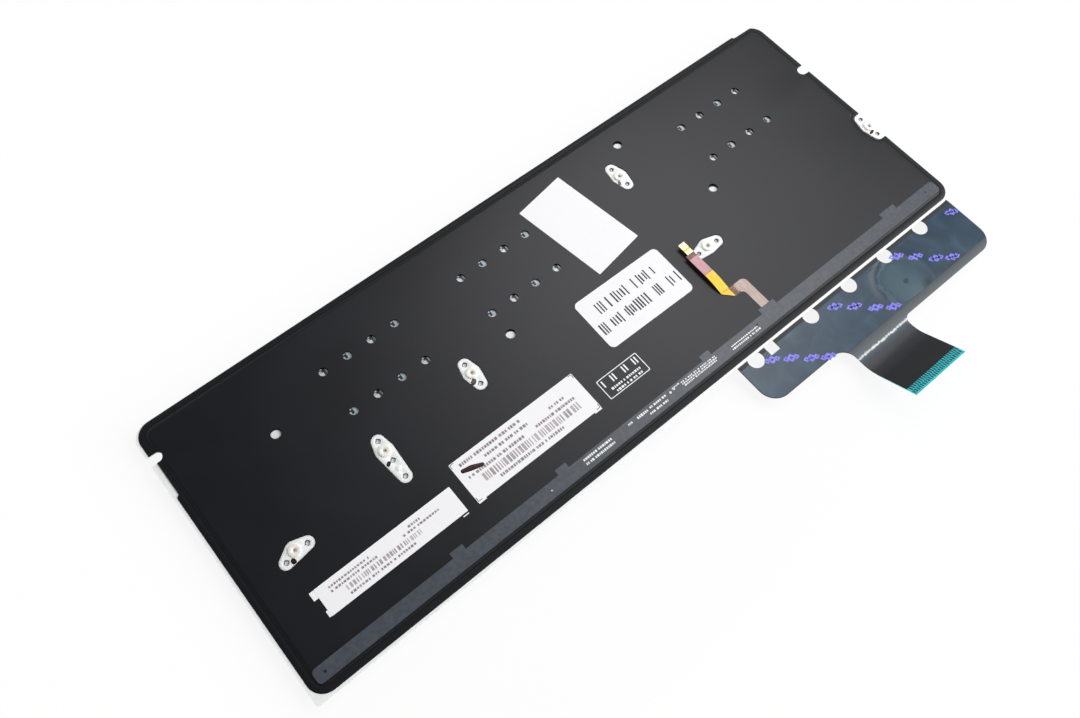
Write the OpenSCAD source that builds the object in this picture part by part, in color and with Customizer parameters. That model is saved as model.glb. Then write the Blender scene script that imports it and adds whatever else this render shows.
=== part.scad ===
// Backlit laptop replacement keyboard, lying on its keys with its back up.
// X runs along the long side, +Y towards the function keys and +Z out of the back.
// The origin is under the middle of the black back film, on the plane of the key faces.

/* [Keys] */
// Distance between neighbouring key centres
key_pitch = 19; // [18.6:0.1:19.4]
// Gap between neighbouring keycaps
cap_gap = 2.8; // [2.4:0.1:3.4]
// Gap between the two half-height arrow keys
half_gap = 1; // [0.8:0.1:1.4]
// Height of a keycap from its face to the edge of its skirt
cap_h = 2.1; // [1.9:0.05:2.6]
// Thickness of a keycap's face
cap_roof = 0.8; // [0.6:0.05:0.9]
// Thickness of a keycap's skirt
cap_wall = 0.9; // [0.7:0.05:1.1]
// Corner radius of a keycap
cap_r = 1.2; // [0.8:0.1:2]
// Distance that a key travels
key_travel = 1.3; // [1:0.05:1.5]
// Room between a pressed key's skirt and the membrane
press_gap = 0.15; // [0.1:0.05:0.4]

/* [Scissors and domes] */
// Length of a full-height key's levers
lever_len = 9.6; // [8.8:0.1:10.4]
// Width over the outer lever
lever_w = 11.6; // [11:0.1:12.4]
// Width of a lever's bars
lever_bar = 0.9; // [0.7:0.05:1]
// Thickness of a lever
lever_t = 0.55; // [0.4:0.05:0.7]
// Radius of a rubber dome at its foot
dome_r = 2.4; // [2:0.1:2.6]
// Diameter of a stabiliser wire
wire_d = 0.8; // [0.6:0.05:0.9]

/* [Layers] */
// Thickness of each of the three membrane sheets
sheet_t = 0.1; // [0.08:0.01:0.2]
// Thickness of the metal base plate
plate_t = 0.45; // [0.3:0.05:0.6]
// Thickness of the light guide
guide_t = 0.4; // [0.3:0.05:0.6]
// Thickness of the white reflector film
reflector_t = 0.12; // [0.08:0.01:0.2]
// Thickness of the black back film
film_t = 0.18; // [0.12:0.01:0.24]
// Thickness of a paper label
label_t = 0.1; // [0.06:0.01:0.2]
// Thickness of the backlight's flexible circuits
flex_t = 0.12; // [0.08:0.01:0.2]

/* [Outline] */
// Film beyond the keys on the left and right
side_margin = 2.5; // [2:0.1:3.5]
// Film beyond the keys on the front and back
end_margin = 1.75; // [1.5:0.05:2.5]
// Corner radius of the back film
corner_r = 6; // [5:0.5:8]
// Bare plate showing beyond the film on the front and left
plate_lip = 1; // [0.6:0.1:1.5]
// Corner radius where the plate's bare lips meet
lip_corner_r = 1.2; // [0.8:0.1:3]
// Width of the film's low rim around the raised panel
rim_w = 2.3; // [2:0.1:3]
// Width of the notch in the left edge
left_notch_w = 3.5; // [3:0.1:4.5]
// Width of the notch in the right edge
right_notch_w = 4.1; // [3:0.1:4.5]
// Depth of the edge notches
notch_depth = 3.9; // [3:0.1:4]

/* [Holes] */
// Diameter of the small holes in the film
small_hole_d = 3.2; // [2.8:0.1:3.6]
// Diameter of the four larger holes in the film
large_hole_d = 3.6; // [3:0.1:4.2]
// Spacing of the small holes along X
hole_pitch_x = 9.9; // [9.4:0.1:10.2]
// Spacing of the two rows of small holes
hole_pitch_y = 18.1; // [17.5:0.1:18.8]
// Diameter of the plate's hole under each small hole
plate_hole_d = 1.7; // [1.4:0.1:2]

/* [Brackets] */
// Thickness of a screw bracket
bracket_t = 0.45; // [0.3:0.05:0.6]
// Radius of a bracket around its boss
bracket_mid_r = 3.35; // [3:0.05:3.6]
// Radius of a bracket around a rivet
bracket_end_r = 2.4; // [2.1:0.05:2.6]
// Gap between a bracket and the film around it
bracket_gap = 0.15; // [0.1:0.05:0.4]
// Diameter of a threaded boss
boss_d = 4.2; // [3.8:0.1:5]
// Diameter of the boss's shank in the bracket and the plate
shank_d = 3.2; // [2.8:0.1:3.4]
// Diameter of the threaded hole
thread_d = 1.6; // [1.4:0.1:2]
// Height of a boss above the back film
boss_rise = 0.3; // [0.2:0.05:0.6]
// Metal left under the threaded hole
boss_floor = 0.2; // [0.1:0.05:0.3]
// Diameter of a rivet's head
rivet_d = 1.9; // [1.6:0.1:2.2]
// Diameter of a rivet's shank
rivet_shank_d = 1.4; // [1.1:0.1:1.5]

/* [Flap and tail] */
// Right edge of the membrane's flap, inward from the film's right edge
flap_inset = 4; // [2:0.5:8]
// Width of the flap
flap_w = 113.6; // [108:0.2:118]
// Reach of the flap's wide part beyond the plate
flap_reach = 23.3; // [21:0.1:26]
// Reach of the flap's short lobe beyond the plate
lobe_reach = 17.8; // [16:0.1:19]
// Corner radius of the flap
flap_r = 7; // [5:0.5:8]
// Distance from the flap's right edge to the tail's middle
tail_offset = 64.9; // [60:0.1:68]
// Width of the tail
tail_w = 25.6; // [24:0.1:27]
// Fillet between the tail and the short lobe
left_fillet_r = 5.5; // [4:0.5:5.5]
// Fillet between the tail and the wide part
right_fillet_r = 2.8; // [2:0.1:4]
// Radius of the tail's upward bend
tail_bend_r = 12; // [9:0.5:16]
// Angle of the tail's upward bend
tail_angle = 29.5; // [20:0.5:35]
// Length of the tail beyond its bend
tail_len = 15.8; // [12:0.2:20]
// Thickness of the tail's stiffener
stiffener_t = 0.22; // [0.15:0.01:0.3]
// Radius of the holes along the flap's root
flap_hole_r = 3.1; // [2.8:0.1:3.4]

/* [Backlight] */
// Width of the light strip
strip_d = 5.1; // [4.6:0.1:5.6]
// Distance from the film's front edge to the strip
strip_inset = 3.4; // [3:0.1:4]
// Gap between the strip's ends and the film's edges
strip_end_gap = 3.1; // [2.6:0.1:4]
// Length of the strip's tabs beyond its edge
strip_tab_d = 2; // [1.5:0.1:2.5]
// Width of the backlight cable
cable_w = 3.8; // [3.2:0.1:4.2]
// Width of the cable's contact end
contact_w = 2.8; // [2.2:0.1:3]
// Height of the cable's free end above the film
cable_rise = 1.6; // [1.4:0.1:2.2]

/* [Hidden] */
$fn = 48;
// Overlap of two solids that are joined, and the reach of a cut beyond the faces it opens
eps = 0.01;
cut = 1;

// Heights of the layers, from the key faces up
z_sheets = cap_h + key_travel + press_gap;
z_flap = z_sheets + 2 * sheet_t;
z_plate = z_flap + sheet_t;
z_guide = z_plate + plate_t;
z_reflector = z_guide + guide_t;
z_film = z_reflector + reflector_t;
z_back = z_film + film_t;
z_bracket_top = z_guide + bracket_t;
z_boss_top = z_back + boss_rise;

// The keys from left to right as they are used, so from +X to -X here, and from the back row forwards
ROWS = [
    ["esc", "f1", "f2", "f3", "f4", "f5", "f6", "f7", "f8", "f9", "f10", "f11", "f12", "insert", "delete"],
    ["grave", "1", "2", "3", "4", "5", "6", "7", "8", "9", "0", "minus", "equals", "backspace"],
    ["tab", "q", "w", "e", "r", "t", "y", "u", "i", "o", "p", "open_bracket", "close_bracket", "backslash"],
    ["caps_lock", "a", "s", "d", "f", "g", "h", "j", "k", "l", "semicolon", "quote", "enter"],
    ["left_shift", "z", "x", "c", "v", "b", "n", "m", "comma", "period", "slash", "right_shift"],
    ["left_control", "function", "system", "left_alt", "space", "right_alt", "right_control",
     "arrow_left", "arrow_up", "arrow_right"]
];
// Widths of the keys that are wider than one pitch, in pitches
KEY_UNITS = [
    ["backspace", 2], ["tab", 1.5], ["backslash", 1.5], ["caps_lock", 1.75], ["enter", 2.25],
    ["left_shift", 2.25], ["right_shift", 2.75], ["left_control", 1.25], ["left_alt", 1.25], ["space", 5.5]
];
// Keys that are sprung pieces of their own; the others are joined in one node
MOVING_KEYS = [
    "q", "w", "e", "r", "t", "y", "u", "i", "o", "p", "a", "s", "d", "f", "g", "h", "j", "k", "l",
    "z", "x", "c", "v", "b", "n", "m", "space", "enter", "backspace", "left_shift", "right_shift"
];
row_units = 15;
row_count = 5.5;
field_w = row_units * key_pitch;
field_d = row_count * key_pitch;
film_w = field_w + 2 * side_margin;
film_d = field_d + 2 * end_margin;
half_cap_d = (key_pitch - cap_gap - half_gap) / 2;
full_cap_d = key_pitch - cap_gap;

function units(name) =
    let (wide = [for (k = KEY_UNITS) if (k[0] == name) k[1]])
    len(wide) > 0 ? wide[0] : 1;
function units_before(row, i) = i == 0 ? 0 : units_before(row, i - 1) + units(row[i - 1]);
function key_x(row, i) = field_w / 2 - (units_before(row, i) + units(row[i]) / 2) * key_pitch;
function row_y(r) = field_d / 2 - r * key_pitch;
function half_y(top) = top - cap_gap / 2 - half_cap_d / 2;
// A key is its name, its middle and the size of its cap
function key_at(r, i) =
    let (name = ROWS[r][i], w = units(name) * key_pitch - cap_gap, x = key_x(ROWS[r], i))
    r == 0 ? [name, x, half_y(field_d / 2), w, half_cap_d]
    : name == "arrow_up" ? [name, x, half_y(row_y(r) + key_pitch / 2), w, half_cap_d]
    : [name, x, row_y(r), w, full_cap_d];
ROW_KEYS = [for (r = [0 : len(ROWS) - 1]) for (i = [0 : len(ROWS[r]) - 1]) key_at(r, i)];
ARROW_UP = [for (k = ROW_KEYS) if (k[0] == "arrow_up") k][0];
ARROW_DOWN = ["arrow_down", ARROW_UP[1], ARROW_UP[2] - half_cap_d - half_gap, ARROW_UP[3], half_cap_d];
KEYS = concat(ROW_KEYS, [ARROW_DOWN]);
function is_moving(name) = len([for (m = MOVING_KEYS) if (m == name) m]) > 0;
FIXED_KEYS = [for (k = KEYS) if (!is_moving(k[0])) k];

// Scissor levers: they reach from the membrane to the cap, crossed at their middle
lever_gap = 0.05;
skirt_room = 1.4;
lever_rise = z_sheets - cap_roof - lever_t - 2 * lever_gap;
z_pivot = (z_sheets + cap_roof) / 2;
side_gap = 0.3;
inner_w = lever_w - 2 * (lever_bar + side_gap);
pin_d = 0.3;
pin_play = 0.04;
clip_x = 5;
hook_w = 1.6;
bar_hook_w = 3;
hook_t = 0.3;
hook_gap = 0.2;
hook_drop = 0.9;
slot_gap = 0.2;
clip_t = 0.7;
clip_h = 0.9;
dome_foot_h = 0.25;
dome_top_r = 1.3;
dome_foot_lip = 0.2;
dome_gap = 0.25;
function lever_l(d) = min(lever_len, d - 2 * cap_wall - skirt_room);
function lever_a(d) = asin(lever_rise / lever_l(d));
function bar_y(d) = lever_l(d) / 2 * cos(lever_a(d)) + lever_t / 2 * sin(lever_a(d));
function foot_r(d) = min(dome_r, lever_l(d) / 2 - lever_bar - dome_gap);

// Places of the screw brackets: first rivet, boss and second rivet
LEFT_BRACKET = [[-129.6, -13.9], [-125.5, -12.3], [-121.1, -12.7]];
LONG_BRACKET = [[-84.5, 0.9], [-84.7, -3.2], [-84.5, -14.3]];
INNER_BRACKET = [[-45.4, 5], [-45.4, 1], [-45.4, -3.8]];
UPPER_BRACKET = [[48.5, 34.8], [48.8, 30.6], [48.9, 26.2]];
LOWER_BRACKET = [[57.9, -13.2], [53.6, -12.8], [48.9, -13.2]];
edge_bracket_in = 2;
EDGE_BRACKET = [
    [film_w / 2 - edge_bracket_in, -8.5], [film_w / 2 - edge_bracket_in, -12.8],
    [film_w / 2 - edge_bracket_in, -17.4]
];
BRACKETS = [LEFT_BRACKET, LONG_BRACKET, INNER_BRACKET, UPPER_BRACKET, LOWER_BRACKET, EDGE_BRACKET];
spare_rivet = [-84.4, -7.4];
spare_pad = [-84.6, -10.8];
spare_pad_d = 2.4;
spare_pad_h = 0.15;
rivet_recess = 0.2;

// Places of the holes in the film
SMALL_GROUPS_X = [-84.4, -25.6, 83.5];
small_row_y = 14.7;
SMALL_HOLES = [
    for (gx = SMALL_GROUPS_X) for (i = [0 : 3]) for (j = [0 : 1])
        [gx + i * hole_pitch_x, small_row_y + j * hole_pitch_y, (i + j) % 2 == 0 ? 1 : -1]
];
LARGE_HOLES = [[-108.9, 24], [-25.7, 4.3], [58, 42], [73.3, 4.5]];
plate_hole_shift = 0.6;
left_notch_y = 41.2;
right_notch_y = 23.6;
// Shallow steps in the film's outline
left_step = 1.1;
LEFT_STEP_Y = [26, 39.5];
back_step = 1;
back_step_x = 12;

// Light strip: its tabs hold the light-emitting diodes, and the cable leaves at one of them
TAB_X = [-86.5, -43.7, 21.6, 118];
TAB_W = [5, 4.5, 4.3, 7.7];
cable_tab_w = 7.5;
cable_x = 52.7;
led_w = 3;
led_d = 1.4;
led_h = 0.55;
led_gap = 0.2;
strip_r = 1.5;
strip_y = -film_d / 2 + strip_inset + strip_d / 2;
strip_edge_y = strip_y + strip_d / 2;
tab_end_y = strip_edge_y + strip_tab_d;
cable_turn_y = -32.4;
cable_end_x = 44.9;
cable_end_y = -6.7;
contact_len = 5.4;
ramp_len = 11;

// Labels: middle, turn, width, depth and corner radius
PLAIN_LABEL = [22.2, 23.7, 9.4, 22.1, 38.8, 0.3];
ROUNDED_LABEL = [17.9, -11.8, -0.4, 39.2, 21.7, 2];
WIDE_LABEL = [-45.5, -28.4, 0, 52.6, 16, 0.3];
NARROW_LABEL = [-101.9, -31.2, 0, 52, 10.1, 0.3];

// Membrane flap
sheet_inset = 1;
plate_front_y = -film_d / 2 - plate_lip;
plate_left_x = -film_w / 2 - plate_lip;
flap_x1 = film_w / 2 - flap_inset;
flap_x0 = flap_x1 - flap_w;
tail_x = flap_x1 - tail_offset;
flap_y = plate_front_y - flap_reach;
lobe_y = plate_front_y - lobe_reach;
flap_root = 6;
flap_root_y = plate_front_y + flap_root;
tail_flat = 0.4;
tail_bend_y = flap_y - right_fillet_r - tail_flat;
liner_gap = 1.6;
liner_top_y = plate_front_y - liner_gap;
liner_bare = 3.2;
liner_inset = 0.2;
FLAP_HOLES_X = [-106, -78.1, -57.9, -38.1, -18.1];
flap_hole_out = 1.7;
flap_hole_y = plate_front_y - flap_hole_out;
square_hole_x = -98.2;
square_hole_w = 4.4;
square_hole_d = 3.9;

// Flat shapes that several pieces use
module rounded(w, d, r) {
    square([w - 2 * r, d], center = true);
    square([w, d - 2 * r], center = true);
    for (sx = [-1, 1]) for (sy = [-1, 1])
        translate([sx * (w / 2 - r), sy * (d / 2 - r)]) circle(r = r);
}

module rounded_between(x0, y0, x1, y1, r) {
    translate([(x0 + x1) / 2, (y0 + y1) / 2]) rounded(x1 - x0, y1 - y0, r);
}

module box_at(x, y, z, w, d, h) {
    translate([x - w / 2, y - d / 2, z]) cube([w, d, h]);
}

module round_at(p, z, d, h) {
    translate([p[0], p[1], z]) cylinder(d = d, h = h);
}

module bracket_outline(b, grow) {
    hull() {
        translate(b[0]) circle(r = bracket_end_r + grow, $fn = 32);
        translate(b[1]) circle(r = bracket_mid_r + grow, $fn = 32);
        translate(b[2]) circle(r = bracket_end_r + grow, $fn = 32);
    }
}

// Notch with a round end, cut inwards from the edge at x on the side sx
module notch(sx, x, y, w, depth, z, h) {
    translate([0, 0, z]) linear_extrude(height = h) {
        translate([sx * (x - depth + w / 2), y]) circle(d = w);
        translate([sx * (x - depth / 2 + w / 4 + cut), y])
            square([depth - w / 2 + 2 * cut, w], center = true);
    }
}

module notches(grow, z, h) {
    notch(-1, film_w / 2, left_notch_y, left_notch_w + 2 * grow, notch_depth + grow, z, h);
    notch(1, film_w / 2, right_notch_y, right_notch_w + 2 * grow, notch_depth + grow, z, h);
}

// Holes, bracket cut-outs and diode pockets that the three layers over the plate share
module back_cuts(grow, z, h) {
    translate([0, 0, z]) linear_extrude(height = h)
        for (b = BRACKETS) bracket_outline(b, bracket_gap + grow);
    box_at(film_w / 2, (EDGE_BRACKET[0][1] + EDGE_BRACKET[2][1]) / 2, z, 2 * edge_bracket_in,
        EDGE_BRACKET[0][1] - EDGE_BRACKET[2][1] + 2 * bracket_end_r + 2 * grow, h);
    for (p = SMALL_HOLES) round_at(p, z, small_hole_d + 2 * grow, h);
    for (p = LARGE_HOLES) round_at(p, z, large_hole_d + 2 * grow, h);
    for (x = TAB_X) box_at(x, strip_edge_y, z, led_w + 2 * led_gap, led_d + 2 * led_gap, h);
    notches(grow, z, h);
}

// Keycap lying face down: a hollow cap with clips for the levers
module keycap(k) {
    w = k[3];
    d = k[4];
    clip_y = bar_y(d) + hook_gap;
    translate([k[1], k[2], 0]) {
        difference() {
            linear_extrude(height = cap_h) rounded(w, d, cap_r);
            translate([0, 0, cap_roof]) linear_extrude(height = cap_h)
                rounded(w - 2 * cap_wall, d - 2 * cap_wall, cap_r / 2);
        }
        for (sx = [-1, 1])
            translate([sx * clip_x - hook_w / 2, -clip_y - clip_t, cap_roof - eps])
                cube([hook_w, clip_t, clip_h + eps]);
        translate([-bar_hook_w / 2, clip_y, cap_roof - eps])
            cube([bar_hook_w, clip_t, clip_h + eps]);
    }
}

// Hooks bent from the plate that hold the levers' plate ends, or the slots they pass through
module plate_hooks(k, grow, z, h) {
    y = bar_y(k[4]) + hook_gap + hook_t / 2;
    for (sx = [-1, 1])
        box_at(k[1] + sx * clip_x, k[2] + y, z, hook_w + 2 * grow, hook_t + 2 * grow, h);
    box_at(k[1], k[2] - y, z, bar_hook_w + 2 * grow, hook_t + 2 * grow, h);
}

module lever_frame(w, l) {
    difference() {
        box_at(0, 0, -lever_t / 2, w, l, lever_t);
        box_at(0, 0, -lever_t, w - 2 * lever_bar, l - 2 * lever_bar, 2 * lever_t);
    }
}

module at_pivot(k, side) {
    translate([k[1], k[2], z_pivot]) rotate([side * lever_a(k[4]), 0, 0]) children();
}

module outer_levers() {
    color("gainsboro") for (k = KEYS) at_pivot(k, 1)
        difference() {
            lever_frame(lever_w, lever_l(k[4]));
            translate([-lever_w, 0, 0]) rotate([0, 90, 0])
                cylinder(d = pin_d + 2 * pin_play, h = 2 * lever_w, $fn = 24);
        }
}

module inner_levers() {
    color("whitesmoke") for (k = KEYS) at_pivot(k, -1) {
        lever_frame(inner_w, lever_l(k[4]));
        for (sx = [-1, 1]) translate([sx * (inner_w - lever_bar) / 2, 0, 0]) rotate([0, sx * 90, 0])
            cylinder(d = pin_d, h = (lever_w - inner_w + lever_bar) / 2, $fn = 24);
    }
}

module rubber_domes() {
    color("white") for (k = KEYS) translate([k[1], k[2], 0]) {
        translate([0, 0, z_sheets - dome_foot_h]) cylinder(r = foot_r(k[4]), h = dome_foot_h);
        translate([0, 0, cap_roof + lever_gap])
            cylinder(r1 = min(dome_top_r, foot_r(k[4]) / 2), r2 = foot_r(k[4]) - dome_foot_lip,
                h = z_sheets - dome_foot_h - cap_roof - lever_gap + eps);
    }
}

// Stabiliser of a wide key: a long wire clipped in the cap, with two arms back to the plate
wire_y = -6.2;
wire_side = 4;
wire_run = 6;
stabiliser_units = 2;
module stabiliser_wire(k) {
    half = k[3] / 2 - wire_side;
    rise = z_sheets - cap_roof - wire_d - 2 * lever_gap;
    reach = sqrt(rise * rise + wire_run * wire_run);
    translate([k[1], k[2] + wire_y, cap_roof + lever_gap + wire_d / 2]) {
        translate([-half, 0, 0]) rotate([0, 90, 0]) cylinder(d = wire_d, h = 2 * half, $fn = 24);
        for (sx = [-1, 1]) translate([sx * half, 0, 0]) {
            sphere(d = wire_d, $fn = 24);
            rotate([-90 + atan(rise / wire_run), 0, 0]) cylinder(d = wire_d, h = reach, $fn = 24);
        }
    }
}

module stabiliser_wires() {
    color("silver") for (k = KEYS) if (units(k[0]) >= stabiliser_units) stabiliser_wire(k);
}

module fixed_keys() {
    color([0.08, 0.08, 0.09]) for (k = FIXED_KEYS) keycap(k);
}

module moving_key(name) {
    color([0.1, 0.1, 0.11]) for (k = KEYS) if (k[0] == name) keycap(k);
}

// Membrane sheets
module sheet_outline() {
    rounded_between(plate_left_x + sheet_inset, plate_front_y + sheet_inset,
        film_w / 2 - sheet_inset, film_d / 2 - sheet_inset, corner_r - sheet_inset);
}

module sheet_cuts(z, h) {
    for (k = KEYS) plate_hooks(k, slot_gap, z, h);
    notches(sheet_inset / 2, z, h);
}

module flap_outline(inset) {
    rounded_between(tail_x - tail_w / 2 + inset, flap_y + inset, flap_x1 - inset, flap_root_y,
        flap_r - inset);
    rounded_between(flap_x0 + inset, lobe_y + inset, tail_x, flap_root_y, flap_r - inset);
    // Fillets between the tail and the two parts of the flap
    difference() {
        translate([tail_x - tail_w / 2 - left_fillet_r, lobe_y - left_fillet_r])
            square([left_fillet_r + flap_r, left_fillet_r + cut]);
        translate([tail_x - tail_w / 2 - left_fillet_r, lobe_y - left_fillet_r]) circle(r = left_fillet_r);
    }
}

module tail_root() {
    translate([tail_x - tail_w / 2, tail_bend_y]) square([tail_w, flap_y - tail_bend_y + flap_r]);
    difference() {
        translate([tail_x + tail_w / 2 - cut, flap_y - right_fillet_r])
            square([right_fillet_r + cut, right_fillet_r + cut]);
        translate([tail_x + tail_w / 2 + right_fillet_r, flap_y - right_fillet_r]) circle(r = right_fillet_r);
    }
}

module flap_holes(z, h) {
    for (x = FLAP_HOLES_X) round_at([flap_x1 + x, flap_hole_y], z, 2 * flap_hole_r, h);
    box_at(flap_x1 + square_hole_x, plate_front_y - square_hole_d / 2, z,
        square_hole_w, square_hole_d, h);
}

// Side view of the bent tail between two depths below its upper face, as Y and Z
bend_steps = 12;
function bend_point(a, depth) =
    [tail_bend_y - (tail_bend_r + depth) * sin(a), z_plate + tail_bend_r - (tail_bend_r + depth) * cos(a)];
function past_bend(s, depth) =
    bend_point(tail_angle, depth) + s * [-cos(tail_angle), sin(tail_angle)];

module tail() {
    side = concat(
        [[tail_bend_y + cut, z_flap]],
        [for (i = [0 : bend_steps]) bend_point(i * tail_angle / bend_steps, sheet_t)],
        [past_bend(tail_len, sheet_t), past_bend(tail_len, 0)],
        [for (i = [bend_steps : -1 : 0]) bend_point(i * tail_angle / bend_steps, 0)],
        [[tail_bend_y + cut, z_plate]]
    );
    translate([tail_x - tail_w / 2, 0, 0]) rotate([90, 0, 90])
        linear_extrude(height = tail_w) polygon(side);
}

module membrane_circuit() {
    color([0.2, 0.24, 0.27]) {
        difference() {
            translate([0, 0, z_flap]) linear_extrude(height = sheet_t) {
                sheet_outline();
                flap_outline(0);
                tail_root();
            }
            sheet_cuts(z_flap - cut, sheet_t + 2 * cut);
            flap_holes(z_flap - cut, sheet_t + 2 * cut);
        }
        tail();
    }
}

module membrane_layer(z) {
    difference() {
        translate([0, 0, z]) linear_extrude(height = sheet_t) sheet_outline();
        sheet_cuts(z - cut, sheet_t + 2 * cut);
    }
}

module membrane_spacer() {
    color("lightgray") membrane_layer(z_sheets + sheet_t);
}

module membrane_mask() {
    color([0.1, 0.1, 0.1]) membrane_layer(z_sheets);
}

module flap_liner() {
    color([0.27, 0.37, 0.41]) difference() {
        translate([0, 0, z_plate]) linear_extrude(height = sheet_t) intersection() {
            flap_outline(liner_inset);
            translate([flap_x0, flap_y + liner_bare])
                square([flap_w, liner_top_y - flap_y - liner_bare]);
        }
        flap_holes(z_plate - cut, sheet_t + 2 * cut);
    }
}

module tail_stiffener() {
    color([0, 0.6, 0.65]) translate([tail_x - tail_w / 2, 0, 0]) rotate([90, 0, 90])
        linear_extrude(height = tail_w) polygon([
            past_bend(0, sheet_t), past_bend(0, sheet_t + stiffener_t),
            past_bend(tail_len, sheet_t + stiffener_t), past_bend(tail_len, sheet_t)
        ]);
}

// Metal plate under the film, with its hooks, rivet holes and light windows
window_w = 5;
window_d = 1.6;
window_y = 7;
window_clear = 9;
function near_bracket(p) = len([for (b = BRACKETS) for (q = b) if (norm(q - p) < window_clear) 1]) > 0;

module base_plate() {
    color([0.85, 0.87, 0.88]) difference() {
        union() {
            translate([0, 0, z_plate]) linear_extrude(height = plate_t) {
                rounded_between(plate_left_x, plate_front_y, film_w / 2, film_d / 2, corner_r);
                translate([plate_left_x + lip_corner_r, plate_front_y + lip_corner_r])
                    circle(r = lip_corner_r);
                translate([plate_left_x, plate_front_y + lip_corner_r]) square(corner_r);
                translate([plate_left_x + lip_corner_r, plate_front_y]) square(corner_r);
            }
            for (k = KEYS)
                plate_hooks(k, 0, z_sheets - hook_drop, z_plate + plate_t / 2 - z_sheets + hook_drop);
        }
        for (b = BRACKETS) {
            round_at(b[0], z_plate - cut, rivet_shank_d, plate_t + 2 * cut);
            round_at(b[1], z_plate - cut, shank_d, plate_t + 2 * cut);
            round_at(b[2], z_plate - cut, rivet_shank_d, plate_t + 2 * cut);
        }
        round_at(spare_rivet, z_plate - cut, rivet_shank_d, plate_t + 2 * cut);
        for (p = SMALL_HOLES)
            round_at([p[0] + p[2] * plate_hole_shift, p[1] + plate_hole_shift], z_plate - cut,
                plate_hole_d, plate_t + 2 * cut);
        for (k = KEYS) if (k[4] == full_cap_d && !near_bracket([k[1], k[2] + window_y]))
            box_at(k[1], k[2] + window_y, z_plate - cut, window_w, window_d, plate_t + 2 * cut);
        notches(0, z_plate - cut, plate_t + 2 * cut);
    }
}

module layer_outline(inset) {
    rounded(film_w - 2 * inset, film_d - 2 * inset, corner_r - inset / 2);
}

module light_guide() {
    color([0.85, 0.93, 0.95]) difference() {
        translate([0, 0, z_guide]) linear_extrude(height = guide_t) layer_outline(rim_w + film_t);
        back_cuts(0, z_guide - cut, guide_t + 2 * cut);
    }
}

module reflector_film() {
    color("white") difference() {
        translate([0, 0, z_reflector]) linear_extrude(height = reflector_t) layer_outline(rim_w + film_t);
        back_cuts(0, z_reflector - cut, reflector_t + 2 * cut);
    }
}

module back_film() {
    color([0.13, 0.13, 0.15]) difference() {
        union() {
            translate([0, 0, z_guide]) linear_extrude(height = film_t) layer_outline(0);
            translate([0, 0, z_guide]) linear_extrude(height = z_back - z_guide) layer_outline(rim_w);
        }
        translate([0, 0, z_guide - cut]) linear_extrude(height = z_film - z_guide + cut)
            layer_outline(rim_w + film_t);
        back_cuts(0, z_guide - cut, z_back - z_guide + 2 * cut);
        box_at(-film_w / 2, (LEFT_STEP_Y[0] + LEFT_STEP_Y[1]) / 2, z_guide - cut,
            2 * left_step, LEFT_STEP_Y[1] - LEFT_STEP_Y[0], z_back);
        box_at(film_w / 2 - back_step_x / 2, film_d / 2, z_guide - cut, back_step_x, 2 * back_step, z_back);
    }
}

// Light strip on the film, its diodes in their pockets and the cable that feeds it
module light_strip() {
    color([0.33, 0.36, 0.4]) {
        translate([0, 0, z_back]) linear_extrude(height = flex_t) {
            rounded_between(-film_w / 2 + strip_end_gap, strip_y - strip_d / 2,
                film_w / 2 - strip_end_gap, strip_edge_y, strip_r);
            for (i = [0 : len(TAB_X) - 1])
                translate([TAB_X[i] - TAB_W[i] / 2, strip_y]) square([TAB_W[i], tab_end_y - strip_y]);
            translate([cable_x - cable_tab_w / 2, strip_y]) square([cable_tab_w, tab_end_y - strip_y]);
        }
    }
}

module light_diodes() {
    color("lemonchiffon") for (x = TAB_X)
        box_at(x, strip_edge_y, z_back - led_h, led_w, led_d, led_h);
}

// Side view of the cable's free run above the film, as Y and Z
ramp_steps = 10;
function ramp_z(t) = z_back + flex_t + cable_rise * (1 - cos(180 * t)) / 2;
fold_y = cable_turn_y - cable_w / 2;

module cable_run(x, w, y0, y1, lift) {
    side = concat(
        [for (i = [0 : ramp_steps]) [fold_y + i * ramp_len / ramp_steps, ramp_z(i / ramp_steps)]],
        [[cable_end_y, ramp_z(1)], [cable_end_y, ramp_z(1) + flex_t]],
        [for (i = [ramp_steps : -1 : 0])
            [fold_y + i * ramp_len / ramp_steps, ramp_z(i / ramp_steps) + flex_t]]
    );
    intersection() {
        translate([x - w / 2, 0, 0]) rotate([90, 0, 90]) linear_extrude(height = w) polygon(side);
        translate([x - w, y0, z_back]) cube([2 * w, y1 - y0, lift]);
    }
}

module backlight_cable() {
    left_x = cable_end_x - cable_w / 2;
    color([0.85, 0.7, 0.3]) {
        // Flat part: up from the strip, then across to the fold
        translate([0, 0, z_back]) linear_extrude(height = flex_t) difference() {
            union() {
                translate([cable_x - cable_w / 2, tab_end_y]) square([cable_w, cable_turn_y - tab_end_y]);
                rounded_between(left_x, fold_y, cable_x + cable_w / 2, fold_y + cable_w, cable_w / 4);
            }
            polygon([[left_x - cut, fold_y + cable_w], [left_x - cut, fold_y - cut],
                [left_x + cable_w, fold_y - cut],
                [left_x + cable_w, fold_y], [left_x, fold_y + cable_w]]);
        }
        // Fold and the free run over the lower bracket, with its narrow contact end
        translate([cable_end_x, 0, z_back]) linear_extrude(height = flex_t + eps)
            polygon([[-cable_w / 2, fold_y + cable_w], [cable_w / 2, fold_y], [cable_w / 2, fold_y + cable_w]]);
        difference() {
            cable_run(cable_end_x, cable_w, fold_y, cable_end_y - contact_len, cable_rise + cut);
            translate([left_x, fold_y, z_back]) linear_extrude(height = cable_rise + cut)
                polygon([[0, 0], [cable_w, 0], [0, cable_w]]);
        }
        cable_run(cable_end_x + (cable_w - contact_w) / 2, contact_w,
            cable_end_y - contact_len - cut, cable_end_y, cable_rise + cut);
    }
}

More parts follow.
